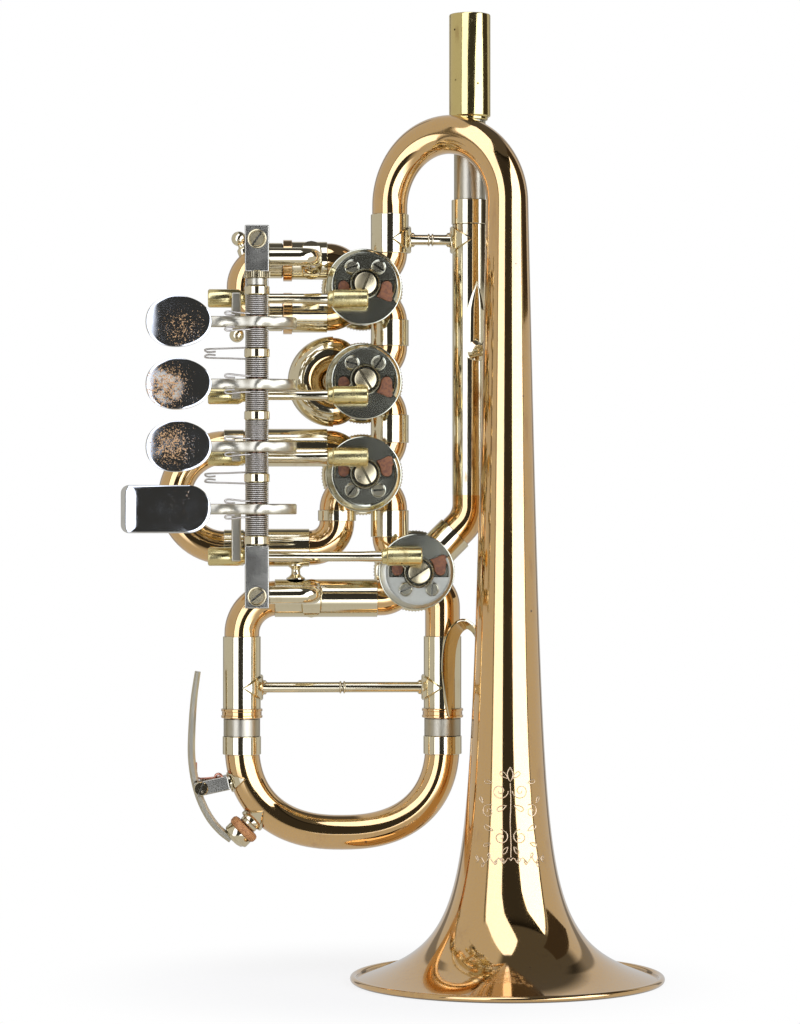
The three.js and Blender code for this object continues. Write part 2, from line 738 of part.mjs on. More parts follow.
// A round stay along X that widens into a foot at each end.
const stayAlongX = (fromX, toX, z, foot) =>
  turnedAlongX(
    [
      [0, fromX],
      [foot, fromX],
      [1.9, fromX + 1.6],
      [1.75, fromX + 2.4],
      [1.75, toX - 2.4],
      [1.9, toX - 1.6],
      [foot, toX],
      [0, toX],
    ],
    10,
    TUBE_Y,
    z,
  );

const upperBrace = () =>
  stayAlongX(BOW.endX + FERRULE_RADIUS + 0.3, LEADPIPE.x - TUBE_RADIUS - 0.3, 239, 3.4);
const slide4Brace = () =>
  stayAlongX(
    SLIDE_4.leftX + OUTER_LEG.outer + 0.3,
    SLIDE_4_RIGHT_X - OUTER_LEG.outer - 0.3,
    93.4,
    3.4,
  );

// Leaf-shaped foot on the leadpipe with a strut across to the bell.
function bellBracketUpper() {
  const leaf = new THREE.Shape();
  leaf.moveTo(0, 227.6);
  leaf.quadraticCurveTo(3.4, 214, 3.4, 203);
  leaf.absarc(0, 202.6, 3.4, 0, Math.PI, true);
  leaf.quadraticCurveTo(-3.4, 214, 0, 227.6);
  const slab = new THREE.ExtrudeGeometry(leaf, { depth: 1, bevelEnabled: false, curveSegments: 5 });
  slab.rotateX(Math.PI / 2).translate(-9.6, 12.9, 0);
  const strut = rod(straightRoute(at(-9.3, 12.6, 203), at(-5.1, 6.9, 203)), 2.2);
  return joined(slab, strut);
}

// Curved strip from the front of the right outer leg up and across to the bell.
function bellBracketLower() {
  const spine = new THREE.CatmullRomCurve3([
    at(-18.2, 11.9, 87.5),
    at(-18.0, 11.9, 97),
    at(-17.2, 11.7, 108),
    at(-13.2, 10.2, 114.6),
    at(-9.0, 8.2, 112.4),
  ]);
  const steps = 9;
  const stations = Array.from({ length: steps + 1 }, (_, k) => ({
    point: spine.getPointAt(k / steps),
    direction: spine.getTangentAt(k / steps),
  }));
  return flatBar(new Route(stations), 1.1, 4.6);
}

// --- levers -------------------------------------------------------------------------------

function leverFrame() {
  const left = AXLE.x - BAR.width / 2;
  const right = AXLE.x + BAR.width / 2;
  const bar = box(at(left, BAR.front, BAR.bottom), at(right, BAR.back, BAR.top));
  const blockFront = AXLE.y - 3.6;
  const lower = box(at(left, blockFront, BAR.bottom), at(right, BAR.back, 139.8));
  const upper = box(at(left, blockFront, 226.6), at(right, BAR.back, BAR.top));
  const posts = [230.7, 124.3].map((z) => {
    const corners = [at(AXLE.x, -17.4, z), at(-62.5, -17.4, z), at(-62.5, 12.3, z)];
    return rod(routeThrough(corners, [4]), 2.4);
  });
  const feet = [230.7, 124.3].map((z) => turnedAlongY(barProfile(4, 11.2, 12.2), 12, -62.5, z));
  const bore = turnedAlongZ(
    barProfile(AXLE.radius + AXLE.play, AXLE.bottom - 0.2, AXLE.top + 0.2),
    AXLE.sides,
    AXLE.x,
    AXLE.y,
  );
  return cut(joined(bar, lower, upper, ...posts, ...feet), bore);
}

// The shared axle carries the spacer rings and, at its top, the locking nut.
function leverAxle() {
  const profile = [[0, AXLE.bottom], [AXLE.radius, AXLE.bottom]];
  for (let i = 4; i >= 0; i--) {
    const middle = LEVER_Z[0] + LEVER_PITCH * (0.5 - i);
    const [low, high] = [middle - SPACER.height / 2, middle + SPACER.height / 2];
    profile.push([AXLE.radius, low], [SPACER.radius, low]);
    profile.push([SPACER.radius, high], [AXLE.radius, high]);
  }
  profile.push([AXLE.radius, 221.4], [2.9, 221.4], [2.9, 223.3], [3.25, 223.3], [3.25, 226.2]);
  profile.push([AXLE.radius, 226.2], [AXLE.radius, AXLE.top], [0, AXLE.top]);
  return turnedAlongZ(profile, AXLE.sides, AXLE.x, AXLE.y);
}

// Double torsion spring: a close-wound coil above and below the lever, bridged at the front.
function leverSpring(z) {
  const coils = [-1, 1].map((side) => {
    const ends = [z + side * SPRING.low, z + side * SPRING.high].sort((a, b) => a - b);
    const profile = sleeveProfile(SPRING.inner, SPRING.outer, ...ends);
    return turnedAlongZ(profile, AXLE.sides, AXLE.x, AXLE.y);
  });
  const bridgeBack = AXLE.y - HUB_RADIUS - 0.3;
  const bridgeFront = bridgeBack - 0.7;
  const bridge = box(
    at(AXLE.x - 0.4, bridgeFront, z - 3),
    at(AXLE.x + 0.4, bridgeBack, z + 3),
  );
  const hooks = [-3, 2.2].map((low) =>
    box(at(AXLE.x - 0.4, bridgeFront, z + low), at(AXLE.x + 0.4, AXLE.y - 3.1, z + low + 0.8)),
  );
  return joined(...coils, bridge, ...hooks);
}

function longPaddleOutline() {
  const [halfLength, halfHeight] = [LONG_PADDLE.length / 2, LONG_PADDLE.height / 2];
  const [near, far] = [6, 3];
  const outline = new THREE.Shape();
  outline.absarc(halfLength - near, halfHeight - near, near, 0, Math.PI / 2, false);
  outline.absarc(far - halfLength, halfHeight - far, far, Math.PI / 2, Math.PI, false);
  outline.absarc(far - halfLength, far - halfHeight, far, Math.PI, 1.5 * Math.PI, false);
  outline.absarc(halfLength - near, near - halfHeight, near, -Math.PI / 2, 0, false);
  return outline;
}

function roundPaddleOutline() {
  const outline = new THREE.Shape();
  const { length, height } = ROUND_PADDLE;
  outline.absellipse(0, 0, length / 2, height / 2, 0, 2 * Math.PI, false, 0);
  return outline;
}

// The fourth finger's touch piece is long, the other three are oval.
function paddle(index) {
  const isLong = index === 3;
  const outline = isLong ? longPaddleOutline() : roundPaddleOutline();
  const middle = isLong ? LONG_PADDLE.length / 2 - LONG_PADDLE.reach : ROUND_PADDLE.middle;
  const slab = new THREE.ExtrudeGeometry(outline, {
    depth: 1.5,
    bevelEnabled: false,
    curveSegments: isLong ? 3 : 8,
  });
  return slab.rotateX(Math.PI / 2).translate(middle, PADDLE_BACK, 0);
}

// Touch piece, front limb over the axle, loop round behind the frame bar, rear limb back to
// the ball of the link rod.
function lever(index) {
  const corners = [
    at(LEVER.startX, AXLE.y - 0.4, 0),
    at(LEVER.turnX, AXLE.y - 0.4, 0),
    at(LEVER.turnX, REAR_LIMB_Y, 0),
    at(LEVER_BALL_X - 1.6, REAR_LIMB_Y, 0),
  ];
  const route = routeThrough(corners, [LEVER.bend, LEVER.bend]);
  const limbs = flatBar(route, LEVER_THICKNESS, LEVER.width);
  const hub = turnedAlongZ(
    barProfile(HUB_RADIUS - 0.2, -LEVER_THICKNESS / 2, LEVER_THICKNESS / 2),
    TUBE_SIDES,
    AXLE.x,
    AXLE.y,
  );
  const bore = turnedAlongZ(barProfile(AXLE.radius + AXLE.play, -3, 3), AXLE.sides, AXLE.x, AXLE.y);
  const drop = rodHeight(index) - LEVER_Z[index];
  const half = LEVER_THICKNESS / 2;
  const riser = box(
    at(LEVER_BALL_X - 1.6, REAR_LIMB_Y - 1.5, Math.min(drop - 1.4, -half)),
    at(LEVER_BALL_X + 1.6, REAR_LIMB_Y + 1.5, Math.max(drop + 1.4, half)),
  );
  const studProfile = [
    [0, REAR_LIMB_Y],
    [1, REAR_LIMB_Y],
    [1, ROD_Y - 1.2],
    [BALL_RADIUS, ROD_Y],
    [1, ROD_Y + 1.2],
    [0, ROD_Y + BALL_RADIUS],
  ];
  const stud = turnedAlongY(studProfile, 8, LEVER_BALL_X, drop);
  const whole = cut(joined(limbs, hub, paddle(index), riser, stud), bore);
  return whole.translate(0, 0, LEVER_Z[index]);
}

const rodHeight = (index) => VALVES[index].z + VALVES[index].pinSide * PIN_AT;

// Link rod with a ball socket at each end. The lever's ball moves a little up or down against
// the rod as the crank swings, so that socket stays open on the side it moves to.
function linkRod(index) {
  const valve = VALVES[index];
  const z = rodHeight(index);
  const pinX = valve.x - PIN_AT;
  const left = LEVER_BALL_X - SOCKET.beyondBall;
  const right = pinX + SOCKET.length / 2;
  const bar = turnedAlongX(barProfile(ROD_RADIUS, left + 2, right - 2), 8, ROD_Y, z);
  const leverSocket = barProfile(SOCKET.radius, left, left + SOCKET.length);
  const crankSocket = barProfile(SOCKET.radius, right - SOCKET.length, right);
  const sockets = [leverSocket, crankSocket].map((p) => turnedAlongX(p, 10, ROD_Y, z));
  const pinHole = turnedAlongY(barProfile(1.65, -6.6, 0), 8, pinX, z);
  const openTo = -valve.pinSide * 6;
  const floor = valve.pinSide * 1.95;
  const clearance = box(
    at(LEVER_BALL_X - 4.4, ROD_Y - 4, z + Math.min(openTo, floor)),
    at(LEVER_BALL_X + 2, ROD_Y + 4, z + Math.max(openTo, floor)),
  );
  return cut(joined(bar, ...sockets), pinHole, clearance);
}

// --- assembly -----------------------------------------------------------------------------

const horn = new THREE.Group();
horn.position.x = (LONG_PADDLE.reach - RIM_RADIUS) / 2;

function add(name, geometry, finish) {
  const mesh = new THREE.Mesh(geometry, new THREE.MeshStandardMaterial(FINISHES[finish]));
  mesh.name = name;
  horn.add(mesh);
}

add("bell", bell(), "goldBrass");
add("bow_ferrule", bowFerrule(), "nickelSilver");
add("bow_crook", bowCrook(), "goldBrass");
add("crook_1_2", crookBetween(VALVES[0], VALVES[1], 1, CROOK_FERRULES[0]), "goldBrass");
add("crook_2_3", crookBetween(VALVES[1], VALVES[2], 1, CROOK_FERRULES[1]), "goldBrass");
add("crook_3_4", crookBetween(VALVES[2], VALVES[3], -1, CROOK_FERRULES[2]), "goldBrass");

add("leadpipe_outer", leadpipeOuter(), "nickelSilver");
add("leadpipe_bend", leadpipeBend(), "goldBrass");
add("mouthpiece_receiver", mouthpieceReceiver(), "yellowBrass");
add("leadpipe_inner", leadpipeInner(), "satinNickel");

VALVES.forEach((valve, i) => {
  add(`valve_casing_${i + 1}`, valveCasing(valve), "nickelSilver");
  add(`rotor_${i + 1}`, rotor(valve), "yellowBrass");
  add(`stop_plate_${i + 1}`, stopPlate(valve), "nickelSilver");
  add(`crank_${i + 1}`, crank(valve), "nickelSilver");
  add(`back_cap_${i + 1}`, backCap(valve), "nickelSilver");
});

add("slide_1_upper_leg", levelLeg(VALVES[0], 1, SLIDE_1.legEnd), "nickelSilver");
add("slide_1_lower_leg", levelLeg(VALVES[0], -1, SLIDE_1.legEnd), "nickelSilver");
add("slide_1_bow", slide1Bow(), "goldBrass");
add("slide_2_loop", slide2Loop(), "nickelSilver");
add("slide_3_upper_leg", levelLeg(VALVES[2], 1, SLIDE_3.legEnd), "nickelSilver");
add("slide_3_lower_leg", slide3LowerLeg(), "nickelSilver");
add("slide_3_bow", slide3Bow(), "goldBrass");
add("slide_4_left_leg", slide4LeftLeg(), "nickelSilver");
add("slide_4_right_leg", slide4RightLeg(), "nickelSilver");
add("slide_4_bow", slide4Bow(), "goldBrass");
add("slide_4_brace", slide4Brace(), "nickelSilver");
add("water_key", waterKey(), "nickelSilver");
add("water_key_saddle", waterKeySaddle(), "nickelSilver");

add("upper_brace", upperBrace(), "nickelSilver");
add("bell_bracket_upper", bellBracketUpper(), "nickelSilver");
add("bell_bracket_lower", bellBracketLower(), "nickelSilver");

add("lever_frame", leverFrame(), "nickelSilver");
add("lever_axle", leverAxle(), "nickelSilver");
LEVER_Z.forEach((z, i) => {
  add(`lever_${i + 1}`, lever(i), "nickelSilver");
  add(`lever_spring_${i + 1}`, leverSpring(z), "springSteel");
  add(`link_rod_${i + 1}`, linkRod(i), "yellowBrass");
});

const group = new THREE.Group();
group.add(horn);

export default group;
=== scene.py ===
import math

import bmesh
import bpy
from mathutils import Matrix, Vector


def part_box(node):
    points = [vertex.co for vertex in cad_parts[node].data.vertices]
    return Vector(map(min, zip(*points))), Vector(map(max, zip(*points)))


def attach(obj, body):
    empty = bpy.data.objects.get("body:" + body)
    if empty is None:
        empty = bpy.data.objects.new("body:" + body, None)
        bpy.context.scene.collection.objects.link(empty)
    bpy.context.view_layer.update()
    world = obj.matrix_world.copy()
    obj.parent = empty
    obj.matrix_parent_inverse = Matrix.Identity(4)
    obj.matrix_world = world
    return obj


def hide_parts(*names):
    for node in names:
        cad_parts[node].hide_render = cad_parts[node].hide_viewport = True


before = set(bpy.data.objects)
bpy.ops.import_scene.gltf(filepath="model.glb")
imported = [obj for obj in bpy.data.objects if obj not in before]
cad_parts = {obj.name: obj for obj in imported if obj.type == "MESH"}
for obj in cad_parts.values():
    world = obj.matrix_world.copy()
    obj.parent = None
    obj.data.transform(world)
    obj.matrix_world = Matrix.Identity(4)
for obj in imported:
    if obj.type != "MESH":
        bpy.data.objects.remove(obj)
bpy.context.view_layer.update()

MM = 0.001
rim_low, rim_high = (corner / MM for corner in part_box("bell"))
RIM_RADIUS = (rim_high.y - rim_low.y) / 2
AXIS_X = rim_high.x - RIM_RADIUS


def in_frame(v):
    return ((v[0] + AXIS_X) * MM, v[1] * MM, v[2] * MM)


def design_box(node):
    low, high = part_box(node)
    shift = Vector((AXIS_X, 0, 0))
    return low / MM - shift, high / MM - shift


def middle(node):
    low, high = design_box(node)
    return (low + high) / 2


# --- places, from the CAD -------------------------------------------------------------------

TUBE_Y = middle("leadpipe_outer").y
LEADPIPE_X = middle("leadpipe_outer").x
VALVES = [middle(f"valve_casing_{i}") for i in (1, 2, 3, 4)]
PIN_SIDES = [1 if middle(f"crank_{i}").z > VALVES[i - 1].z else -1 for i in (1, 2, 3, 4)]
AXLE_X = middle("lever_axle").x
AXLE_Y = middle("lever_axle").y
LEVER_Z = [middle(f"lever_spring_{i}").z for i in (1, 2, 3, 4)]
ROD_Z = [middle(f"link_rod_{i}").z for i in (1, 2, 3, 4)]
ROD_Y = middle("link_rod_1").y
RECEIVER_LOW, RECEIVER_HIGH = (c.z for c in design_box("mouthpiece_receiver"))

# Outer radii of the tubes
TUBE = 5.7
FERRULE = 6.2
LEG = 6.15
INNER_LEG = 5.45

# A port leaves the rotor's centre at 45 degrees and turns along X or Z at this distance.
PORT = 8.6
PORT_INSIDE = 6 * math.sqrt(0.5)
PIN_AT = 7.4 * math.sqrt(0.5)
BOW_END = Vector((-36.9, TUBE_Y, 0))
KNEE_END_X = -59.0
SLIDE_3_LOWER_Z = 138.8
AXLE_RADIUS = 1.8
SLIDE_4_LEFT = -85.0
SLIDE_4_RIGHT = VALVES[3].x + PORT
LEVER_BALL_X = AXLE_X - 6.5
REAR_LIMB_Y = -11.0


# --- materials ------------------------------------------------------------------------------


class Graph:
    """Adds nodes to a tree; an input may be a value or another node's output."""

    def __init__(self, tree):
        self.tree = tree
        tree.nodes.clear()

    def add(self, kind, props=None, **inputs):
        node = self.tree.nodes.new(kind)
        for key, value in (props or {}).items():
            setattr(node, key, value)
        for key, value in inputs.items():
            name = key.replace("_", " ") if not key.startswith("i") else int(key[1:])
            socket = node.inputs[name]
            if isinstance(value, bpy.types.NodeSocket):
                self.tree.links.new(value, socket)
            else:
                socket.default_value = value
        return node

    def math(self, operation, a, b=0.0):
        return self.add("ShaderNodeMath", {"operation": operation}, i0=a, i1=b).outputs[0]

    def plus(self, a, b):
        return self.math("ADD", a, b)

    def minus(self, a, b):
        return self.math("SUBTRACT", a, b)

    def times(self, a, b):
        return self.math("MULTIPLY", a, b)

    def mix(self, share, a, b):
        node = self.add("ShaderNodeMix", {"data_type": "RGBA"})
        for socket, value in ((0, share), (6, a), (7, b)):
            if isinstance(value, bpy.types.NodeSocket):
                self.tree.links.new(value, node.inputs[socket])
            else:
                node.inputs[socket].default_value = value
        return node.outputs[2]

    def ramp(self, value, low, high, start=0.0, end=1.0):
        """Smooth step of a value: start below low, end above high."""
        props = {"interpolation_type": "SMOOTHSTEP"}
        node = self.add("ShaderNodeMapRange", props, i0=value, i1=low, i2=high, i3=start, i4=end)
        return node.outputs[0]

    def place(self):
        """Position on the piece, in millimetres."""
        metres = self.add("ShaderNodeTexCoord").outputs["Object"]
        return self.add("ShaderNodeMapping", i0=metres, i3=(1 / MM,) * 3).outputs[0]

    def noise(self, place, scale, detail=3.0, stretch=(1, 1, 1), roughness=0.5):
        place = self.add("ShaderNodeMapping", i0=place, i3=stretch).outputs[0]
        node = self.add(
            "ShaderNodeTexNoise", Vector=place, Scale=scale, Detail=detail, Roughness=roughness
        )
        return node.outputs[0]

    def bump(self, height, strength, depth):
        node = self.add("ShaderNodeBump", Strength=strength, Distance=depth, Height=height)
        return node.outputs[0]

    def surface(self, **inputs):
        shader = self.add("ShaderNodeBsdfPrincipled", **inputs)
        self.add("ShaderNodeOutputMaterial", Surface=shader.outputs[0])


def material(name):
    """A new material and the graph of its nodes."""
    made = bpy.data.materials.new(name)
    made.use_nodes = True
    return made, Graph(made.node_tree)


def rgba(colour):
    return (*colour, 1.0)


def metal(
    name, colour, stain, roughness, dull=0.1, stained=0.3, spots=0.0, scratch=0.1, lacquer=0.0,
    depth=0.00004,
):
    """A polished or satin metal: blotchy stain, streaks along the tube, small pits, hairline
    scratches, and painted shade that darkens the colour in narrow corners."""
    made, g = material(name)
    place = g.place()
    cloud = g.noise(place, 0.09, 4.0)
    streak = g.noise(place, 0.55, 3.0, (1, 1, 0.12), 0.65)
    fine = g.noise(place, 1.7, 4.0, (1, 1, 1), 0.7)
    blotch = g.times(g.ramp(cloud, 0.5, 0.72), g.ramp(streak, 0.42, 0.66))
    tone = g.times(blotch, stained)
    body = g.mix(tone, rgba(colour), rgba(stain))
    lift = g.ramp(fine, 0.3, 0.75, 0.0, 0.10)
    body = g.mix(lift, body, rgba(stain))
    cells = g.add("ShaderNodeTexVoronoi", Vector=place, Scale=0.42)
    pit = g.math("LESS_THAN", cells.outputs["Distance"], 0.17)
    chance = g.math("LESS_THAN", cells.outputs["Color"], spots)
    pit = g.times(pit, chance)
    pit = g.times(pit, g.ramp(cloud, 0.45, 0.6))
    body = g.mix(pit, body, rgba([c * 0.22 for c in stain]))
    # Painted shade: ambient occlusion darkens the colour towards near black in narrow corners and seams.
    corner = g.add("ShaderNodeAmbientOcclusion", {"samples": 4}, Distance=0.001).outputs["AO"]
    body = g.mix(g.ramp(corner, 0.3, 0.85, 0.92, 0.0), body, rgba((0.05, 0.04, 0.02)))
    rough = g.plus(roughness, g.times(g.ramp(cloud, 0.35, 0.75), dull))
    rough = g.plus(rough, g.times(pit, 0.35))
    hair = g.noise(place, 2.6, 2.0, (1.0, 1.0, 0.05), 0.8)
    hair_across = g.noise(place, 2.2, 2.0, (0.07, 1.0, 1.0), 0.8)
    height = g.plus(g.times(hair, 0.6), g.times(hair_across, 0.5))
    height = g.minus(height, g.times(pit, 0.8))
    g.surface(
        Base_Color=body, Metallic=1.0, Roughness=rough, Normal=g.bump(height, scratch, depth),
        Coat_Weight=lacquer, Coat_Roughness=0.04, Coat_IOR=2.05,
    )
    return made


def touch_plate(name, centre, patch, spread, amount):
    """Plated touch piece, worn through to brass in orange specks about the finger's place."""
    made, g = material(name)
    place = g.place()
    offset = g.add("ShaderNodeVectorMath", {"operation": "DISTANCE"}, i0=place, i1=centre)
    near = g.ramp(offset.outputs["Value"], spread * 0.15, spread, 1.0, 0.0)
    normal = g.add("ShaderNodeNewGeometry").outputs["Normal"]
    facing = g.add("ShaderNodeSeparateXYZ", i0=normal).outputs[1]
    near = g.times(near, g.ramp(facing, -0.5, -0.2, 1.0, 0.0))
    cloud = g.noise(place, 0.28, 4.0)
    speck = g.noise(place, 1.9, 2.0, (1, 1, 1), 0.8)
    threshold = g.minus(0.74, g.times(near, amount))
    worn = g.math("GREATER_THAN", speck, threshold)
    worn = g.times(worn, g.math("GREATER_THAN", near, 0.02))
    bare = g.times(g.ramp(near, 0.55, 0.95), g.ramp(cloud, 0.45, 0.6))
    bare = g.times(bare, patch)
    body = g.mix(g.ramp(cloud, 0.4, 0.7, 0.0, 0.35), rgba((0.72, 0.70, 0.64)), rgba((0.5, 0.5, 0.47)))
    body = g.mix(bare, body, rgba((0.72, 0.66, 0.50)))
    body = g.mix(worn, body, rgba((0.62, 0.36, 0.16)))
    rough = g.plus(0.07, g.times(worn, 0.35))
    rough = g.plus(rough, g.times(bare, 0.3))
    rough = g.plus(rough, g.ramp(cloud, 0.35, 0.75, 0.0, 0.06))
    height = g.minus(g.times(speck, 0.1), g.times(worn, 0.5))
    g.surface(
        Base_Color=body, Metallic=g.minus(1.0, g.times(worn, 0.25)),
        Roughness=rough, Normal=g.bump(height, 0.2, 0.00003),
    )
    return made


def soft(name, colour, second, scale, roughness, depth):
    """Cork and rubber: two-tone grain with a fine bump."""
    made, g = material(name)
    place = g.place()
    grain = g.noise(place, scale, 4.0, (1, 1, 1), 0.7)
    body = g.mix(g.ramp(grain, 0.42, 0.62), rgba(colour), rgba(second))
    g.surface(Base_Color=body, Roughness=roughness, Normal=g.bump(grain, 0.6, depth))
    return made


GOLD = (0.78, 0.46, 0.13)
GOLD_STAIN = (0.36, 0.13, 0.03)
NICKEL = (0.80, 0.70, 0.47)
NICKEL_STAIN = (0.46, 0.28, 0.10)
SATIN_DEPTH = 0.00001
# Metal finish: material slot of the record, then the values of metal() in their order
METALS = {
    "gold": ("gold_brass", "gold_brass", GOLD, GOLD_STAIN, 0.05, 0.05, 0.3, 0.12, 0.1, 1.0),
    "engraving": ("gold_brass", "engraved_line", (0.84, 0.64, 0.40), GOLD_STAIN, 0.4, 0.1, 0.3),
    "nickel": ("nickel_silver", "nickel_silver", NICKEL, NICKEL_STAIN, 0.05, 0.06, 0.25, 0.1),
    "worn_nickel": (
        "nickel_silver", "worn_nickel", NICKEL, (0.36, 0.20, 0.07), 0.06, 0.08, 0.95, 0.2,
    ),
    "plate": (
        "nickel_silver", "valve_plate", (0.66, 0.63, 0.46), (0.44, 0.34, 0.16),
        0.14, 0.05, 0.5, 0.1, 0.3, 0.0, 0.000008,
    ),
    "satin_plate": (
        "nickel_silver", "valve_plate_satin", (0.56, 0.53, 0.41), (0.40, 0.33, 0.18),
        0.30, 0.06, 0.3, 0.1, 0.4, 0.0, SATIN_DEPTH,
    ),
    "plate_screw": (
        "nickel_silver", "plate_screw", (0.50, 0.45, 0.30), (0.40, 0.30, 0.13),
        0.20, 0.05, 0.5, 0.1, 0.2, 0.0, SATIN_DEPTH,
    ),
    "lever_metal": (
        "nickel_silver", "lever_nickel", (0.58, 0.52, 0.38), (0.44, 0.34, 0.18),
        0.28, 0.08, 0.4, 0.1, 0.2, 0.0, SATIN_DEPTH,
    ),
    "hub_screw": (
        "nickel_silver", "hub_screw_brass", (0.64, 0.53, 0.31), (0.40, 0.30, 0.13),
        0.24, 0.08, 0.5, 0.1, 0.3, 0.0, SATIN_DEPTH,
    ),
    "bar": (
        "nickel_silver", "bar_nickel", (0.52, 0.48, 0.38), (0.42, 0.36, 0.25),
        0.20, 0.12, 0.5, 0.1, 0.4, 0.0, SATIN_DEPTH,
    ),
    "brass": (
        "yellow_brass", "yellow_brass", (0.78, 0.62, 0.25), (0.40, 0.24, 0.08),
        0.09, 0.06, 0.5, 0.35, 0.3,
    ),
    "old_brass": (
        "yellow_brass", "old_brass", (0.78, 0.64, 0.29), (0.38, 0.26, 0.08),
        0.17, 0.15, 0.7, 0.3, 0.6,
    ),
    "satin": (
        "satin_nickel_silver", "satin_nickel", (0.52, 0.46, 0.33), (0.38, 0.31, 0.18),
        0.30, 0.1, 0.4, 0.0, 0.3,
    ),
    "steel": (
        "spring_steel", "spring_steel", (0.56, 0.50, 0.41), (0.32, 0.27, 0.20),
        0.36, 0.1, 0.2, 0.0, 0.2,
    ),
    "copper": (
        "spring_steel", "copper_wire", (0.76, 0.36, 0.24), (0.38, 0.15, 0.08), 0.22, 0.1, 0.4,
    ),
}
RUBBER = ("bumper_rubber", (0.24, 0.085, 0.022), (0.14, 0.045, 0.015), 1.2, 0.5, 0.00002)
CORK = ("cork_disc", (0.56, 0.25, 0.08), (0.42, 0.17, 0.05), 0.9, 0.6, 0.000012)
# Finish: (material slot of the record, material)
FINISH = {finish: (slot, metal(*look)) for finish, (slot, *look) in METALS.items()}
FINISH["rubber"] = ("bumper", soft(*RUBBER))
FINISH["cork"] = ("cork", soft(*CORK))


# --- meshes ---------------------------------------------------------------------------------


def piece(name, shape, finish, body="horn", nodes=(), sharp=38, bevel=0.0, turn=None):
    """Makes one piece from (vertices, faces) in millimetres, facing outward. finish is a name in
    FINISH, or a (slot, material) pair."""
    vertices, faces = shape
    if turn is not None:
        vertices = [turn @ Vector(v) for v in vertices]
    mesh = bpy.data.meshes.new(name)
    mesh.from_pydata([in_frame(v) for v in vertices], [], faces)
    work = bmesh.new()
    work.from_mesh(mesh)
    bmesh.ops.recalc_face_normals(work, faces=work.faces)
    work.to_mesh(mesh)
    work.free()
    mesh.shade_smooth()
    mesh.set_sharp_from_angle(angle=math.radians(sharp))
    slot, look = FINISH[finish] if isinstance(finish, str) else finish
    made = shown(name, mesh, look)
    if bevel:
        edge = made.modifiers.new("edge", "BEVEL")
        edge.width = bevel * MM
        edge.segments = 3
        edge.limit_method = "ANGLE"
        edge.angle_limit = math.radians(35)
        edge.harden_normals = True
    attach(made, body)
    if nodes:
        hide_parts(*nodes)


def shown(name, mesh, look):
    mesh.materials.append(look)
    made = bpy.data.objects.new(name, mesh)
    bpy.context.scene.collection.objects.link(made)
    return made


def skin(rings, wrap=False):
    """Joins rings of points of equal count; open ends get a flat cap, wrap joins last to first."""
    n = len(rings[0])
    count = len(rings)
    vertices = [p for ring in rings for p in ring]
    faces = []
    for i in range(count if wrap else count - 1):
        a, b = i * n, ((i + 1) % count) * n
        for k in range(n):
            m = (k + 1) % n
            faces.append((a + k, a + m, b + m, b + k))
    if not wrap:
        faces.append(tuple(range(n - 1, -1, -1)))
        faces.append(tuple(range((count - 1) * n, count * n)))
    return vertices, faces


def merged(*shapes):
    """Several closed shapes as one mesh."""
    vertices, faces = [], []
    for part_vertices, part_faces in shapes:
        base = len(vertices)
        vertices.extend(part_vertices)
        faces.extend(tuple(i + base for i in face) for face in part_faces)
    return vertices, faces


AXES = {
    "X": (Vector((0, 1, 0)), Vector((0, 0, 1)), Vector((1, 0, 0))),
    "Y": (Vector((0, 0, 1)), Vector((1, 0, 0)), Vector((0, 1, 0))),
    "Z": (Vector((1, 0, 0)), Vector((0, 1, 0)), Vector((0, 0, 1))),
}


def turned(profile, origin, axis="Z", sides=72, knurl=None):
    """Turns a profile of (radius, distance along the axis) round a line. A profile that ends
    where it starts makes a ring. knurl is (depth, low, high, radius): between those heights the
    surface beyond that radius gets a notch of that depth in every fourth pair of sides."""
    u, v, w = AXES[axis] if isinstance(axis, str) else axis_frame(axis)
    origin = Vector(origin)
    wrap = profile[0] == profile[-1]
    rings = []
    for radius, along in profile[:-1] if wrap else profile:
        ring = []
        for k in range(sides):
            angle = 2 * math.pi * k / sides
            r = radius
            if knurl and k % 4 < 2 and knurl[1] <= along <= knurl[2] and radius > knurl[3]:
                r -= knurl[0]
            ring.append(origin + u * (r * math.cos(angle)) + v * (r * math.sin(angle)) + w * along)
        rings.append(ring)
    return skin(rings, wrap)


def axis_frame(direction):
    w = Vector(direction).normalized()
    u = w.orthogonal().normalized()
    return u, w.cross(u), w


def bar(radius, low, high, chamfer=0.15):
    return [
        (radius - chamfer, low),
        (radius, low + chamfer),
        (radius, high - chamfer),
        (radius - chamfer, high),
    ]


def sleeve(inner, outer, low, high, chamfer=0.15):
    return [
        (inner, low),
        (outer - chamfer, low),
        (outer, low + chamfer),
        (outer, high - chamfer),
        (outer - chamfer, high),
        (inner, high),
        (inner, low),
    ]


def route(corners, bends, step=6.0):
    """Stations of (point, direction) along straights whose corners are rounded."""
    corners = [Vector(c) for c in corners]
    headings = [(b - a).normalized() for a, b in zip(corners, corners[1:])]
    stations = [(corners[0], headings[0])]
    for corner, before, after, bend in zip(corners[1:-1], headings, headings[1:], bends):
        turn = before.angle(after)
        axis = before.cross(after).normalized()
        start = corner - before * (bend * math.tan(turn / 2))
        centre = start + axis.cross(before) * bend
        steps = max(2, math.ceil(math.degrees(turn) / step))
        for k in range(steps + 1):
            spin = Matrix.Rotation(turn * k / steps, 3, axis)
            stations.append((centre + spin @ (start - centre), spin @ before))
    stations.append((corners[-1], headings[-1]))
    kept = [stations[0]]
    for station in stations[1:]:
        if (station[0] - kept[-1][0]).length > 0.02:
            kept.append(station)
    return kept


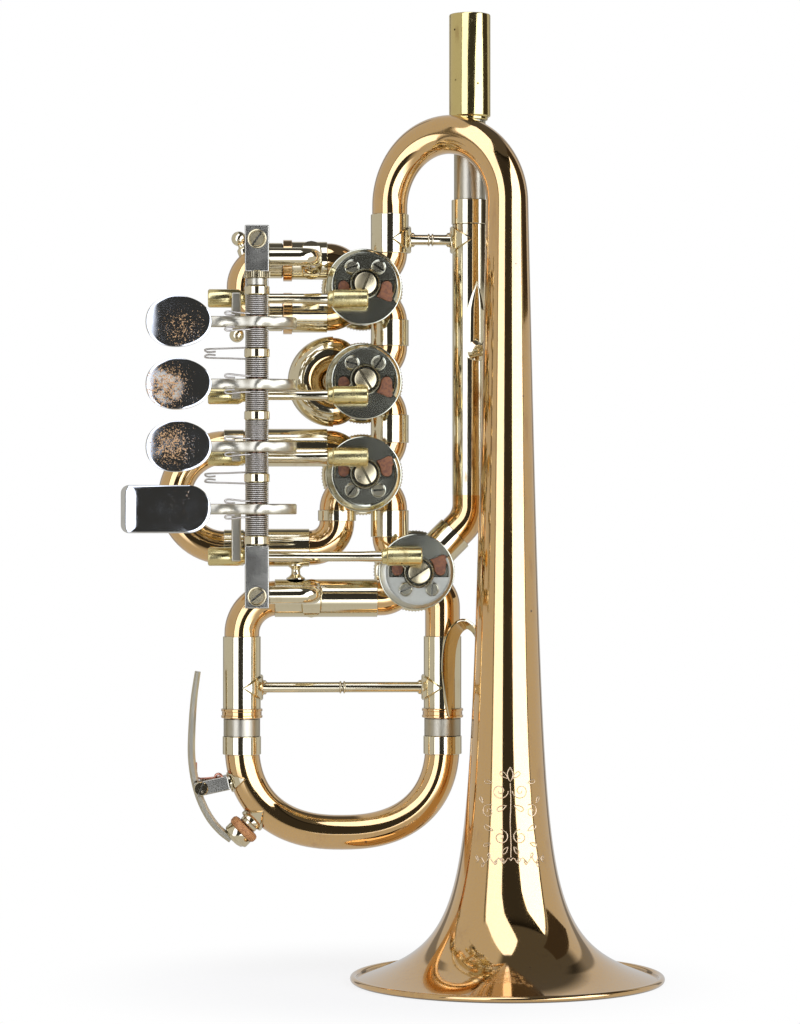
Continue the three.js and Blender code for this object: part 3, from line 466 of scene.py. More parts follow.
def smooth_route(points, steps):
    """Catmull-Rom stations through the points."""
    points = [Vector(p) for p in points]
    padded = [points[0] * 2 - points[1], *points, points[-1] * 2 - points[-2]]
    spans = len(points) - 1
    spots = []
    for k in range(steps + 1):
        u = min(spans * k / steps, spans - 1e-6)
        i = int(u)
        t = u - i
        a, b, c, d = padded[i : i + 4]
        spots.append(
            0.5 * (2 * b + (c - a) * t + (2 * a - 5 * b + 4 * c - d) * t**2
                   + (3 * b - a - 3 * c + d) * t**3)
        )
    stations = []
    for k, spot in enumerate(spots):
        along = spots[min(k + 1, steps)] - spots[max(k - 1, 0)]
        stations.append((spot, along.normalized()))
    return stations


def with_ends(stations, chamfer):
    """Adds a station just inside each end, so that the end can be chamfered."""
    (a, along_a), (b, along_b) = stations[0], stations[-1]
    return [
        stations[0],
        (a + along_a * chamfer, along_a),
        *stations[1:-1],
        (b - along_b * chamfer, along_b),
        stations[-1],
    ]


def carried(stations, first=None):
    """A side direction at each station, turned as little as possible on the way."""
    side = first or stations[0][1].orthogonal()
    sides = []
    for _, along in stations:
        side = (side - along * side.dot(along)).normalized()
        sides.append(side)
    return sides


def swept(stations, section, first=None):
    """Carries section(i), a list of (side, across) pairs, along the stations."""
    rings = []
    for i, ((point, along), side) in enumerate(zip(stations, carried(stations, first))):
        across = along.cross(side)
        rings.append([point + side * a + across * b for a, b in section(i)])
    return skin(rings)


def circle(radius, sides):
    turn = 2 * math.pi / sides
    return [(radius * math.cos(k * turn), radius * math.sin(k * turn)) for k in range(sides)]


def tube(stations, radius, sides=48, chamfer=0.15):
    """Round tube or rod, closed at both ends."""
    stations = with_ends(stations, chamfer)
    last = len(stations) - 1
    radii = [radius - chamfer * (i in (0, last)) for i in range(last + 1)]
    return swept(stations, lambda i: circle(radii[i], sides))


def strip(stations, widths, thickness, first, corner=0.25):
    """Flat bar: widths(i) is (to the side, against the side), thickness lies across."""

    def section(i):
        outer, inner = widths(i)
        t = thickness / 2
        c = corner
        return [
            (outer - c, t),
            (outer, t - c),
            (outer, c - t),
            (outer - c, -t),
            (c - inner, -t),
            (-inner, c - t),
            (-inner, t - c),
            (c - inner, t),
        ]

    return swept(stations, section, first)


def block(low, high):
    (x0, y0, z0), (x1, y1, z1) = low, high
    ring = [(x0, y0), (x1, y0), (x1, y1), (x0, y1)]
    return skin([[Vector((x, y, z)) for x, y in ring] for z in (z0, z1)])


def prism(outline, front, back):
    """An outline of (x, z) points made thick along Y."""
    return skin([[Vector((a, y, b)) for a, b in outline] for y in (front, back)])


def arc(radius, start, end, steps, cx=0.0, cz=0.0):
    """Points on a circle, angles in degrees."""
    span = end - start
    points = []
    for k in range(steps + 1):
        angle = math.radians(start + span * k / steps)
        points.append((cx + radius * math.cos(angle), cz + radius * math.sin(angle)))
    return points


def slotted_head(radius, x, z, face, back, angle, dome=0.25):
    """Screw head whose slot is cut as a channel between two half heads on a lower disc."""
    half_slot = 0.07 * radius + 0.14
    floor = face + 1.1
    shapes = [turned([(radius - 0.02, floor), (radius - 0.02, back + 0.6)], (x, 0, z), "Y", 32)]
    tilt = math.radians(angle)
    c, s = math.cos(tilt), math.sin(tilt)
    for side in (-1, 1):
        limit = math.degrees(math.asin(half_slot / radius))
        edge = arc(radius, limit, 180 - limit, 14)
        inside = math.degrees(math.asin(half_slot / (radius * 0.9)))
        inner_edge = arc(radius * 0.9, inside, 180 - inside, 14)
        rings = []
        for points, y in ((edge, floor + 0.05), (edge, face + dome), (inner_edge, face)):
            ring = []
            for a, b in points:
                b *= side
                ring.append(Vector((x + a * c - b * s, y, z + a * s + b * c)))
            rings.append(ring)
        shapes.append(skin(rings))
    return merged(*shapes)


def wrapped(axis_point, axis, facing, radius, thickness, outline):
    """A plate bent round a tube. outline(u) gives (arc position, half width) for u in 0..1;
    the arc position is in millimetres round the tube from the facing direction."""
    axis = Vector(axis).normalized()
    facing = Vector(facing).normalized()
    around = axis.cross(facing)
    slope = 0.45
    steps = 28
    rings = []
    for i in range(steps + 1):
        position, half = outline(i / steps)
        angle = position / radius
        normal = facing * math.cos(angle) + around * math.sin(angle)
        flat = max(half * 0.35, half - slope)
        section = [(-half, -0.25), (-half, 0.03), (-flat, thickness)]
        section += [(flat * w, thickness) for w in (-0.5, 0.0, 0.5)]
        section += [(flat, thickness), (half, 0.03), (half, -0.25), (0.0, -0.25)]
        rings.append(
            [Vector(axis_point) + normal * (radius + high) + axis * wide for wide, high in section]
        )
    return skin(rings)


def in_plane(x, z):
    """A point in the plane of the tubes."""
    return Vector((x, TUBE_Y, z))


def port_start(valve, side_x, side_z):
    return in_plane(valve.x + side_x * PORT_INSIDE, valve.z + side_z * PORT_INSIDE)


def port_corner(valve, side_x, side_z):
    return in_plane(valve.x + side_x * PORT, valve.z + side_z * PORT)


def ring_on_z(name, x, low, high, radius, finish, body="horn", inner=5.2, nodes=()):
    shape = turned(sleeve(inner, radius, low, high), (x, TUBE_Y, 0), "Z", 64)
    piece(name, shape, finish, body, nodes)


def ring_on_x(name, z, low, high, radius, finish, body="horn", inner=5.2):
    shape = turned(sleeve(inner, radius, low, high), (0, TUBE_Y, z), "X", 64)
    piece(name, shape, finish, body)


# --- bell -----------------------------------------------------------------------------------

# Outer radius at height z is THROAT - TAPER * z + GAIN * (PITCH / (z + PITCH)) ** 2.
THROAT, TAPER, GAIN, PITCH = 10.9, 0.0174, 38.1, 20.5
WALL = 0.8
BOW_START = 249.6
BOW_RADIUS = math.hypot(BOW_END.x, BOW_END.y) / 2
BOW_HEADING = Vector((BOW_END.x, BOW_END.y, 0)).normalized()
BOW_LENGTH = math.pi * BOW_RADIUS
BOW_END_RADIUS = 5.75
# The arch of the bow is this much higher than a half circle.
BOW_RISE = 1.096
FERRULE_TOP = 247.2
FERRULE_LOW = 234.5


def flare(z):
    return THROAT - TAPER * z + GAIN * (PITCH / (z + PITCH)) ** 2


def inner_radius(s):
    start = flare(BOW_START) - WALL
    if s <= BOW_START:
        return flare(s) - WALL * s / BOW_START
    share = min(1.0, (s - BOW_START) / BOW_LENGTH)
    return start + (BOW_END_RADIUS - WALL - start) * share


def wall_slope(s):
    return (inner_radius(s + 0.05) - inner_radius(s - 0.05)) / 0.1


def bell_place(s):
    """Centre and direction of the bell's centre line, rim to bow end and into the ferrule."""
    if s <= BOW_START:
        return Vector((0, 0, s)), Vector((0, 0, 1))
    angle = min(math.pi, (s - BOW_START) / BOW_RADIUS)
    past = max(0.0, s - BOW_START - BOW_LENGTH)
    out = BOW_HEADING * (BOW_RADIUS * (1 - math.cos(angle)))
    up = Vector((0, 0, BOW_START + BOW_RISE * BOW_RADIUS * math.sin(angle) - past))
    along = BOW_HEADING * math.sin(angle) + Vector((0, 0, BOW_RISE * math.cos(angle)))
    return out + up, along.normalized()


def build_bell():
    sides = 144
    stations = [BOW_START * (i / 90) ** 2.3 for i in range(91)]
    stations += [BOW_START + BOW_LENGTH * i / 54 for i in range(1, 55)]
    stations += [BOW_START + BOW_LENGTH + 4]
    loop = [(inner_radius(s), s) for s in reversed(stations)]
    bead = 1.1
    centre_r = RIM_RADIUS - bead
    for degrees in range(-100, 191, 14):
        a = math.radians(degrees)
        loop.append((centre_r + bead * math.cos(a), bead + bead * math.sin(a)))
    under_bead = 0.35
    for s in stations[1:]:
        reach = WALL / math.hypot(1, wall_slope(s))
        if s > BOW_START - 1:
            loop.append((inner_radius(s) + WALL, s))
        elif s > under_bead:
            loop.append((inner_radius(s) + reach, s - wall_slope(s) * reach))
    aside = Vector((-BOW_HEADING.y, BOW_HEADING.x, 0))
    rings = []
    for radius, s in loop:
        centre, along = bell_place(s)
        side = along.cross(aside).normalized()
        ring = []
        for k in range(sides):
            angle = 2 * math.pi * k / sides
            ring.append(centre + side * (radius * math.cos(angle)) + aside * (radius * math.sin(angle)))
        rings.append(ring)
    piece("bell_and_bow", skin(rings, wrap=True), "gold", nodes=("bell",), sharp=60)


def on_bell(across, z):
    """Point on the front of the bell, across millimetres round from the middle."""
    angle = across / flare(z)
    radius = inner_radius(z) + WALL * math.hypot(1, wall_slope(z))
    return Vector((radius * math.sin(angle), -radius * math.cos(angle), z))


def scroll(x, z, radius, turns, start, hand):
    """Spiral of (x, z) points that winds inward."""
    points = []
    for k in range(41):
        share = k / 40
        angle = math.radians(start) + hand * 2 * math.pi * turns * share
        r = radius * (1 - 0.85 * share)
        points.append((x + r * math.cos(angle), z + r * math.sin(angle)))
    return points


def leaflet(x, z, length, lean):
    """Outline of a leaf from its stalk at (x, z), leaning so many degrees from +X."""
    points = []
    for k in range(25):
        angle = 2 * math.pi * k / 24
        along = length * (1 - math.cos(angle)) / 2
        side = 0.28 * length * math.sin(angle) * math.sin(angle / 2)
        c, s = math.cos(math.radians(lean)), math.sin(math.radians(lean))
        points.append((x + along * c - side * s, z + along * s + side * c))
    return points


def build_ornament():
    """Plain vine and scrolls in fine lines, in place of the maker's engraving."""
    lines = []
    for hand in (-1, 1):
        half = [
            scroll(3.2, 62.0, 2.6, 1.5, 180, 1),
            scroll(6.8, 55.5, 2.3, 1.4, 120, -1),
            scroll(3.0, 47.5, 2.4, 1.5, 90, 1),
        ]
        leaves = (
            (0.7, 66.0, 3.0, 40), (5.6, 64.5, 2.6, 10), (1.2, 57.5, 3.2, -30), (8.8, 58.0, 2.2, 60),
            (5.4, 49.5, 3.2, 25), (0.9, 44.5, 2.6, -55), (6.2, 45.5, 2.4, -20),
        )
        half += [leaflet(*leaf) for leaf in leaves]
        vine = [(0.35 * k, 40.2 + 0.8 * math.sin(0.75 * k)) for k in range(33)]
        half.append(vine)
        for k in (6, 12, 18, 24, 30):
            half.append(leaflet(*vine[k], 1.7, 65 if k % 12 else -65))
        lines += [[(hand * x, z) for x, z in line] for line in half]
    lines.append([(0.0, 69.5), (0.9, 67.4), (0.0, 65.0), (-0.9, 67.4), (0.0, 69.5)])
    lines.append([(0.0, 64.5), (0.15, 58.0), (-0.1, 52.0), (0.1, 46.0), (0.0, 41.2)])
    shapes = []
    for line in lines:
        places = [on_bell(x, z) for x, z in line]
        shapes.append(tube(smooth_route(places, 2 * len(places)), 0.17, 6, 0.03))
    piece("bell_ornament", merged(*shapes), "engraving")


build_bell()
build_ornament()


# --- main line ------------------------------------------------------------------------------


def build_main_line():
    first = VALVES[0]
    top = in_plane(BOW_END.x, FERRULE_LOW + 3)
    corners = [port_start(first, 1, 1), port_corner(first, 1, 1), top]
    piece("bow_crook_tube", tube(route(corners, [7]), TUBE), "gold", nodes=("bow_crook",))
    ring_on_z(
        "bow_ferrule_sleeve", BOW_END.x, FERRULE_LOW, FERRULE_TOP, FERRULE, "nickel",
        inner=5.3, nodes=("bow_ferrule",),
    )
    bands = ((204.4, 212.9), (172.9, 182.0), (142.3, 151.0))
    for i, (low, high) in enumerate(bands):
        upper, lower = VALVES[i], VALVES[i + 1]
        side = -1 if i == 2 else 1
        corners = [
            port_start(upper, 1, -1),
            port_corner(upper, 1, -1),
            port_corner(lower, side, 1),
            port_start(lower, side, 1),
        ]
        label = f"{i + 1}_{i + 2}"
        shape = tube(route(corners, [7, 7]), TUBE)
        piece(f"crook_tube_{label}", shape, "gold", nodes=(f"crook_{label}",))
        ring_on_z(f"crook_ferrule_{label}", corners[1].x, low, high, FERRULE, "nickel")


def build_leadpipe():
    x = LEADPIPE_X
    outer = [
        (5.2, 155.8), (TUBE - 0.15, 155.8), (TUBE, 155.95), (TUBE, 243.9), (TUBE - 0.12, 244.0),
        (5.2, 244.0), (5.2, 155.8),
    ]
    piece(
        "leadpipe_tube", turned(outer, (x, TUBE_Y, 0), "Z", 64), "worn_nickel",
        nodes=("leadpipe_outer",),
    )
    ring_on_z("leadpipe_collar", x, 244.05, 252, 5.97, "nickel", inner=5.2)
    fourth = VALVES[3]
    corner = in_plane(x, fourth.z + x - fourth.x)
    into = port_start(fourth, 1, 1)
    shape = tube(route([in_plane(x, 157.5), corner, into], [11]), TUBE - 0.02)
    piece("leadpipe_bend_tube", shape, "gold", nodes=("leadpipe_bend",))
    outward = (corner - into).normalized()
    centre = in_plane(fourth.x, fourth.z)
    profile = sleeve(5.2, FERRULE, 9.5, 18)
    shape = turned(profile, centre, outward, 64)
    piece("leadpipe_bend_ferrule", shape, "nickel")
    low, high = RECEIVER_LOW, RECEIVER_HIGH
    pipe = [(4.4, 196), (5.15, 196), (5.15, low + 11), (4.4, low + 11), (4.4, 196)]
    piece(
        "inner_leadpipe", turned(pipe, (x, TUBE_Y, 0), "Z", 64), "satin", "leadpipe",
        ("leadpipe_inner",),
    )
    radius = 6.75
    profile = [
        (5.2, low), (5.7, low), (5.9, low + 0.25), (5.9, low + 0.9), (radius - 0.5, low + 0.95),
        (radius, low + 1.4), (radius, high - 0.45), (radius - 0.15, high - 0.15),
        (radius - 0.5, high), (5.3, high), (4.95, high - 0.4), (4.55, low + 12), (5.2, low + 12),
        (5.2, low),
    ]
    piece(
        "receiver_tube", turned(profile, (x, TUBE_Y, 0), "Z", 96), "brass", "leadpipe",
        ("mouthpiece_receiver",), sharp=30,
    )


build_main_line()
build_leadpipe()


# --- valves ---------------------------------------------------------------------------------

SCREW_TURNS = ((20, -35, 68), (-15, 55, -58), (50, 5, -62), (24, 88, 33))


def mirrored(shape, valve, side):
    """Sets a shape drawn for a pin below the centre at its valve; side 1 turns it upside down,
    and left stays left."""
    vertices, faces = shape
    placed = []
    for v in vertices:
        placed.append(Vector((valve.x + v[0], v[1], valve.z + v[2] * -side)))
    return placed, faces


def ring_centre(valve):
    """The rim of the casing sits a little off the rotor's line, away from the lower left."""
    lean = 0.012
    return valve.x - lean * (valve.x + 82.4), valve.z - lean * (valve.z - 148.0)


def build_casing(i, valve):
    body = [
        (0.05, 2.0), (11.6, 2.0), (11.9, 2.0), (12.1, 2.08), (12.2, 2.3), (12.2, 4.1), (12.05, 4.35),
        (11.0, 4.4), (10.8, 4.6), (10.8, 8.0), (10.95, 8.15), (10.95, 9.0), (10.8, 9.15),
        (10.8, 28.4), (10.9, 28.5), (10.9, 31.5), (9.3, 31.5), (9.3, 6.6), (0.05, 6.6),
    ]
    x, z = ring_centre(valve)
    shape = turned(body, (x, 0, z), "Y", 128)
    piece(f"casing_{i}", shape, "plate", nodes=(f"valve_casing_{i}",), sharp=15)
    cap = [
        (0.05, 34.4), (2.0, 34.4), (2.2, 34.6), (2.4, 34.4), (8.6, 34.7), (9.0, 35.2),
        (9.4, 35.4), (12.2, 35.6), (12.9, 35.45), (13.15, 35.1), (13.4, 34.6), (13.4, 31.2),
        (13.15, 30.6), (12.6, 29.9), (11.4, 29.6), (11.05, 29.6), (11.05, 33.2), (0.05, 33.2),
    ]
    shape = turned(cap, (valve.x, 0, valve.z), "Y", 320, (0.32, 31.1, 34.7, 13.3))
    piece(f"cap_{i}", shape, "nickel", nodes=(f"back_cap_{i}",), sharp=30)


def build_stop_plate(i, valve, side):
    """Half disc with a sloping rim; the rim goes on past the bumpers at both ends."""
    chord, reach, hub = 1.5, 10.3, 5.0
    a = math.degrees(math.asin(chord / reach))
    b = math.degrees(math.asin(chord / hub))
    outline = arc(reach, a, 180 - a, 44) + arc(hub, 180 - b, b, 24)
    plate = prism(outline, 0.9, 2.2)
    x, z = ring_centre(valve)
    dx, dz = x - valve.x, (z - valve.z) * -side
    rings = []
    for k in range(61):
        angle = math.radians(-27 + 234 * k / 60)
        c, s = math.cos(angle), math.sin(angle)
        rim = []
        for r, y in ((9.55, 2.2), (9.6, 0.98), (9.72, 0.88), (10.4, 0.86), (10.62, 0.96),
                     (11.75, 1.85), (11.9, 2.2)):
            share = min(1.0, max(0.0, (r - 9.5) / 2.4))
            rim.append(Vector((dx * share + r * c, y, dz * share + r * s)))
        rings.append(rim)
    shape = mirrored(merged(plate, skin(rings)), valve, side)
    finish = "satin_plate" if i == 4 else "plate"
    piece(f"half_plate_{i}", shape, finish, nodes=(f"stop_plate_{i}",), sharp=25)
    turns = SCREW_TURNS[i - 1]
    for hand, label, angle in ((-1, "left", turns[0]), (1, "right", turns[1])):
        spot_x = valve.x + hand * 4.25
        spot_z = valve.z - side * 5.3
        head = slotted_head(2.0, spot_x, spot_z, 0.35, 1.6, angle, 0.1)
        piece(f"plate_screw_{label}_{i}", head, "plate_screw", sharp=20)
        well = turned(
            [(2.08, 1.0), (2.12, 0.74), (2.25, 0.7), (2.38, 0.78), (2.42, 1.2), (2.08, 1.2),
             (2.08, 1.0)],
            (spot_x, 0, spot_z), "Y", 40,
        )
        piece(f"screw_seat_{label}_{i}", well, finish)


def build_bumpers(i, valve, side):
    right = [
        (4.9, -1.7), (5.1, -0.4), (5.6, 0.5), (6.5, 0.95), (7.4, 0.95), (8.2, 0.5), (8.6, -0.4),
        (8.7, -2.6), (9.5, -3.2), (9.1, -4.4), (8.4, -5.6), (7.3, -5.6), (5.2, -4.6),
        (3.6, -4.1), (4.4, -3.0),
    ]
    left = [(-x, z if z > -2.6 else -2.6 + (z + 2.6) * 0.35) for x, z in right]
    for label, outline in (("right", right), ("left", left)):
        shape = mirrored(prism(outline, 1.15, 2.9), valve, side)
        piece(f"bumper_{label}_{i}", shape, "rubber", bevel=0.3)


def build_crank(i, valve, side):
    body = f"rotor_{i}"
    hub = [
        (3.3, -0.6), (3.6, -0.3), (4.0, -0.3), (4.2, -0.5), (4.25, -1.45), (4.38, -1.58),
        (4.62, -1.58), (4.75, -1.42), (4.78, -1.1), (4.78, 2.1), (3.3, 2.1), (3.3, -0.6),
    ]
    shape = turned(hub, (valve.x, 0, valve.z), "Y", 72)
    piece(f"hub_{i}", shape, "plate", body, (f"crank_{i}",), sharp=30)
    angle = SCREW_TURNS[i - 1][2]
    head = slotted_head(3.45, valve.x, valve.z, -1.9, 0.4, angle, 0.12)
    piece(f"hub_screw_{i}", head, "hub_screw", body, sharp=30)
    pin = Vector((valve.x - PIN_AT, 0, valve.z + side * PIN_AT))
    centre = Vector((valve.x, 0, valve.z))
    way = (pin - centre).normalized()
    forward = Vector((0, -0.1, 0))
    start, end = centre + way * 3.4 + forward, pin + way * 0.6 + forward
    stations = [(start, way), (start.lerp(end, 0.5), way), (end, way)]
    across = Vector((0, 1, 0)).cross(way)
    arm = strip(stations, lambda k: (2.5 - 0.3 * k, 2.5 - 0.3 * k), 1.9, across)
    stud = turned(
        [(1.2, -5.0), (1.3, -4.5), (1.3, -1.4), (2.2, -1.25), (2.45, -1.0), (2.45, 0.6), (1.2, 0.7)],
        (pin.x, 0, pin.z), "Y", 32,
    )
    piece(f"crank_arm_{i}", merged(arm, stud), "nickel", body)


for number, (valve, side) in enumerate(zip(VALVES, PIN_SIDES), 1):
    build_casing(number, valve)
    build_stop_plate(number, valve, side)
    build_bumpers(number, valve, side)
    build_crank(number, valve, side)


# --- slides ---------------------------------------------------------------------------------


def level_leg(name, valve, side_z, leg_end, ring_start=None):
    """Gold knee from a left port, nickel sleeve, and a gold ring at its open end if it has one.
    Returns the height of the leg."""
    corner = port_corner(valve, -1, side_z)
    knee_end = in_plane(KNEE_END_X, corner.z)
    shape = tube(route([port_start(valve, -1, side_z), corner, knee_end], [7]), TUBE)
    piece(f"{name}_knee", shape, "gold", nodes=(f"{name}_leg",))
    ring_on_x(f"{name}_sleeve", corner.z, leg_end, -57.3, LEG, "nickel", inner=5.6)
    if ring_start is not None:
        ring_on_x(f"{name}_ring", corner.z, leg_end, ring_start, 6.75, "gold", inner=5.8)
    return corner.z


def bow_tube(body, inner_end, far_x, upper, lower, ring_end, ring_radius):
    """Pull-out bow with a nickel ring on each leg, which stays in sight."""
    bend = (upper - lower) / 2
    corners = [
        in_plane(inner_end, upper),
        in_plane(far_x - bend, upper),
        in_plane(far_x - bend, lower),
        in_plane(inner_end, lower),
    ]
    shape = tube(route(corners, [bend, bend]), INNER_LEG)
    piece(f"{body}_gold_bow", shape, "gold", body, (f"{body}_bow",))
    for label, z in (("upper", upper), ("lower", lower)):
        name = f"{body}_{label}_inner"
        ring_on_x(name, z, far_x - 0.3, ring_end, ring_radius, "nickel", body, 5.0)


def build_slide_1():
    valve = VALVES[0]
    upper = level_leg("slide_1_upper", valve, 1, -71.6, -68.7)
    lower = level_leg("slide_1_lower", valve, -1, -71.6, -68.7)
    bow_tube("slide_1", KNEE_END_X, -75.9, upper, lower, -71.9, 5.75)
    ball, ball_height = 2.4, 7.5
    profile = [(1.9, 1.6), (1.9, 3.7), (1.75, 4.1), (1.2, 4.5), (1.05, 4.9)]
    for k in range(13):
        angle = math.radians(150 * (1 - k / 12) + 2)
        profile.append((ball * math.sin(angle), ball_height + ball * math.cos(angle)))
    for label, x, z, way in (("upper", -83.45, upper, 1), ("lower", -84.1, lower, -1)):
        knob = turned(profile, (x, TUBE_Y, z), (-0.36, 0, way), 40)
        piece(f"slide_1_{label}_knob", knob, "nickel", "slide_1")


def build_slide_2():
    valve = VALVES[1]
    bow_x = -55.4
    far = bow_x - PORT
    corners = [
        port_start(valve, -1, 1),
        port_corner(valve, -1, 1),
        in_plane(far, valve.z + PORT),
        in_plane(far, valve.z - PORT),
        port_corner(valve, -1, -1),
        port_start(valve, -1, -1),
    ]
    shape = tube(route(corners, [2.8, PORT - 0.01, PORT - 0.01, 2.8]), TUBE)
    piece("slide_2_tube", shape, "gold", nodes=("slide_2_loop",))
    rings = []
    centre = in_plane(bow_x, valve.z)
    front = Vector((0, -1, 0))
    for k in range(37):
        angle = math.radians(90 + 180 * k / 36)
        out = Vector((math.cos(angle), 0, math.sin(angle)))
        spot = centre + out * PORT
        edge = arc(LEG, -90, 90, 30) + arc(5.5, 90, -90, 30)
        rings.append([spot + out * a + front * b for a, b in edge])
    piece("slide_2_guard", skin(rings), "nickel", sharp=50)


def build_slide_3():
    valve = VALVES[2]
    upper = level_leg("slide_3_upper", valve, 1, -84.0)
    corner = port_corner(valve, -1, -1)
    lower = SLIDE_3_LOWER_Z
    start_x = corner.x - 9
    corners = [
        port_start(valve, -1, -1),
        corner,
        in_plane(corner.x, lower),
        in_plane(start_x - 1.5, lower),
    ]
    shape = tube(route(corners, [7, 8.4]), TUBE)
    piece("slide_3_lower_knee", shape, "gold", nodes=("slide_3_lower_leg",))
    ring_on_z("slide_3_ferrule", corner.x, 147.5, 151.0, FERRULE, "nickel")
    ring_on_x("slide_3_lower_sleeve", lower, -84.0, start_x, LEG, "nickel", inner=5.6)
    bow_tube("slide_3", -65, -90.5, upper, lower, -84.4, 5.85)
    profile = [
        (3.1, 128.6), (3.0, 129.0), (2.0, 129.6), (1.5, 130.2), (1.4, 131.6), (1.7, 132.2),
        (2.6, 132.7), (3.0, 133.0), (3.0, 133.6),
    ]
    pillar = turned(profile, (-67.5, TUBE_Y, 0), "Z", 40)
    piece("slide_3_pillar", pillar, "nickel")


def long_bow():
    half = (SLIDE_4_RIGHT - SLIDE_4_LEFT) / 2
    centre = (SLIDE_4_RIGHT + SLIDE_4_LEFT) / 2
    top, drop, power = 76.2, 30.0, 2 / 2.4
    points = [in_plane(SLIDE_4_LEFT, 109)]
    points += [in_plane(SLIDE_4_LEFT, top + 2)]
    steps = 60
    for k in range(steps + 1):
        angle = math.pi * k / steps
        c, s = math.cos(angle), math.sin(angle)
        x = centre - half * math.copysign(abs(c) ** power, c)
        points.append(in_plane(x, top - drop * abs(s) ** power))
    points += [in_plane(SLIDE_4_RIGHT, top + 2), in_plane(SLIDE_4_RIGHT, 109)]
    stations = []
    last = len(points) - 1
    for i, point in enumerate(points):
        along = points[min(i + 1, last)] - points[max(i - 1, 0)]
        if i <= 2:
            along = Vector((0, 0, -1))
        if i >= last - 2:
            along = Vector((0, 0, 1))
        stations.append((point, along.normalized()))
    return stations


def build_slide_4():
    valve = VALVES[3]
    corner = port_corner(valve, -1, -1)
    corners = [
        port_start(valve, -1, -1),
        corner,
        in_plane(SLIDE_4_LEFT, corner.z),
        in_plane(SLIDE_4_LEFT, 108),
    ]
    shape = tube(route(corners, [7, 11.5]), TUBE)
    piece("slide_4_left_tube", shape, "gold", nodes=("slide_4_left_leg",))
    ring_on_x("slide_4_upper_sleeve", corner.z, -74.3, -41.0, LEG, "nickel")
    ring_on_z("slide_4_left_sleeve", SLIDE_4_LEFT, 86.4, 110.0, LEG, "nickel", inner=5.6)
    corner = port_corner(valve, 1, -1)
    corners = [port_start(valve, 1, -1), corner, in_plane(corner.x, 108)]
    piece("slide_4_right_tube", tube(route(corners, [7]), TUBE), "gold", nodes=("slide_4_right_leg",))
    ring_on_z("slide_4_right_sleeve", corner.x, 86.4, 110.0, LEG, "nickel", inner=5.6)
    stations = long_bow()
    piece("slide_4_gold_bow", tube(stations, INNER_LEG + 0.2, 64), "gold", "slide_4", ("slide_4_bow",))
    for label, x in (("left", SLIDE_4_LEFT), ("right", SLIDE_4_RIGHT)):
        profile = [
            (5.8, 83.5), (6.5, 83.5), (6.75, 83.75), (6.75, 84.3), (6.5, 84.5), (6.5, 85.6),
            (6.75, 85.8), (6.75, 86.4), (6.5, 86.6), (5.8, 86.6), (5.8, 83.5),
        ]
        ring = turned(profile, (x, TUBE_Y, 0), "Z", 64)
        piece(f"slide_4_{label}_ring", ring, "gold", sharp=30)
        ring_on_z(f"slide_4_{label}_inner", x, 77.6, 83.3, 5.95, "satin", "slide_4", 5.2)
        ring_on_z(f"slide_4_{label}_ferrule", x, 71.7, 77.6, 6.25, "nickel", "slide_4", 5.2)


build_slide_1()
build_slide_2()
build_slide_3()
build_slide_4()


# --- water key ------------------------------------------------------------------------------

FOOT = in_plane(-77.6, 54.2)
OUTWARD = Vector((-1, 0, -1)).normalized()


def arrow(radius, reach, half):
    """Outline wrapped on a tube that looks like a straight-sided triangle from the front."""
    start = math.pi / 2 * radius

    def outline(u):
        position = start - reach * u
        tip = math.sin((start - reach) / radius)
        width = half * (math.sin(position / radius) - tip) / (1 - tip)
        return (position, max(0.02, width))

    return outline


def key_foot(name, centre, outward, reach, half):
    axis = Vector((-outward.z, 0, outward.x))
    leaf = wrapped(centre, axis, (0, -1, 0), TUBE, 0.75, arrow(TUBE, reach, half))
    disc = turned(
        [(half * 0.95, -0.9), (half, -0.3), (half, 0.5), (half - 0.3, 0.75), (2.0, 0.9)],
        Vector(centre) + outward * TUBE, outward, 40,
    )
    piece(name, merged(leaf, disc), "nickel", "slide_4", sharp=40)


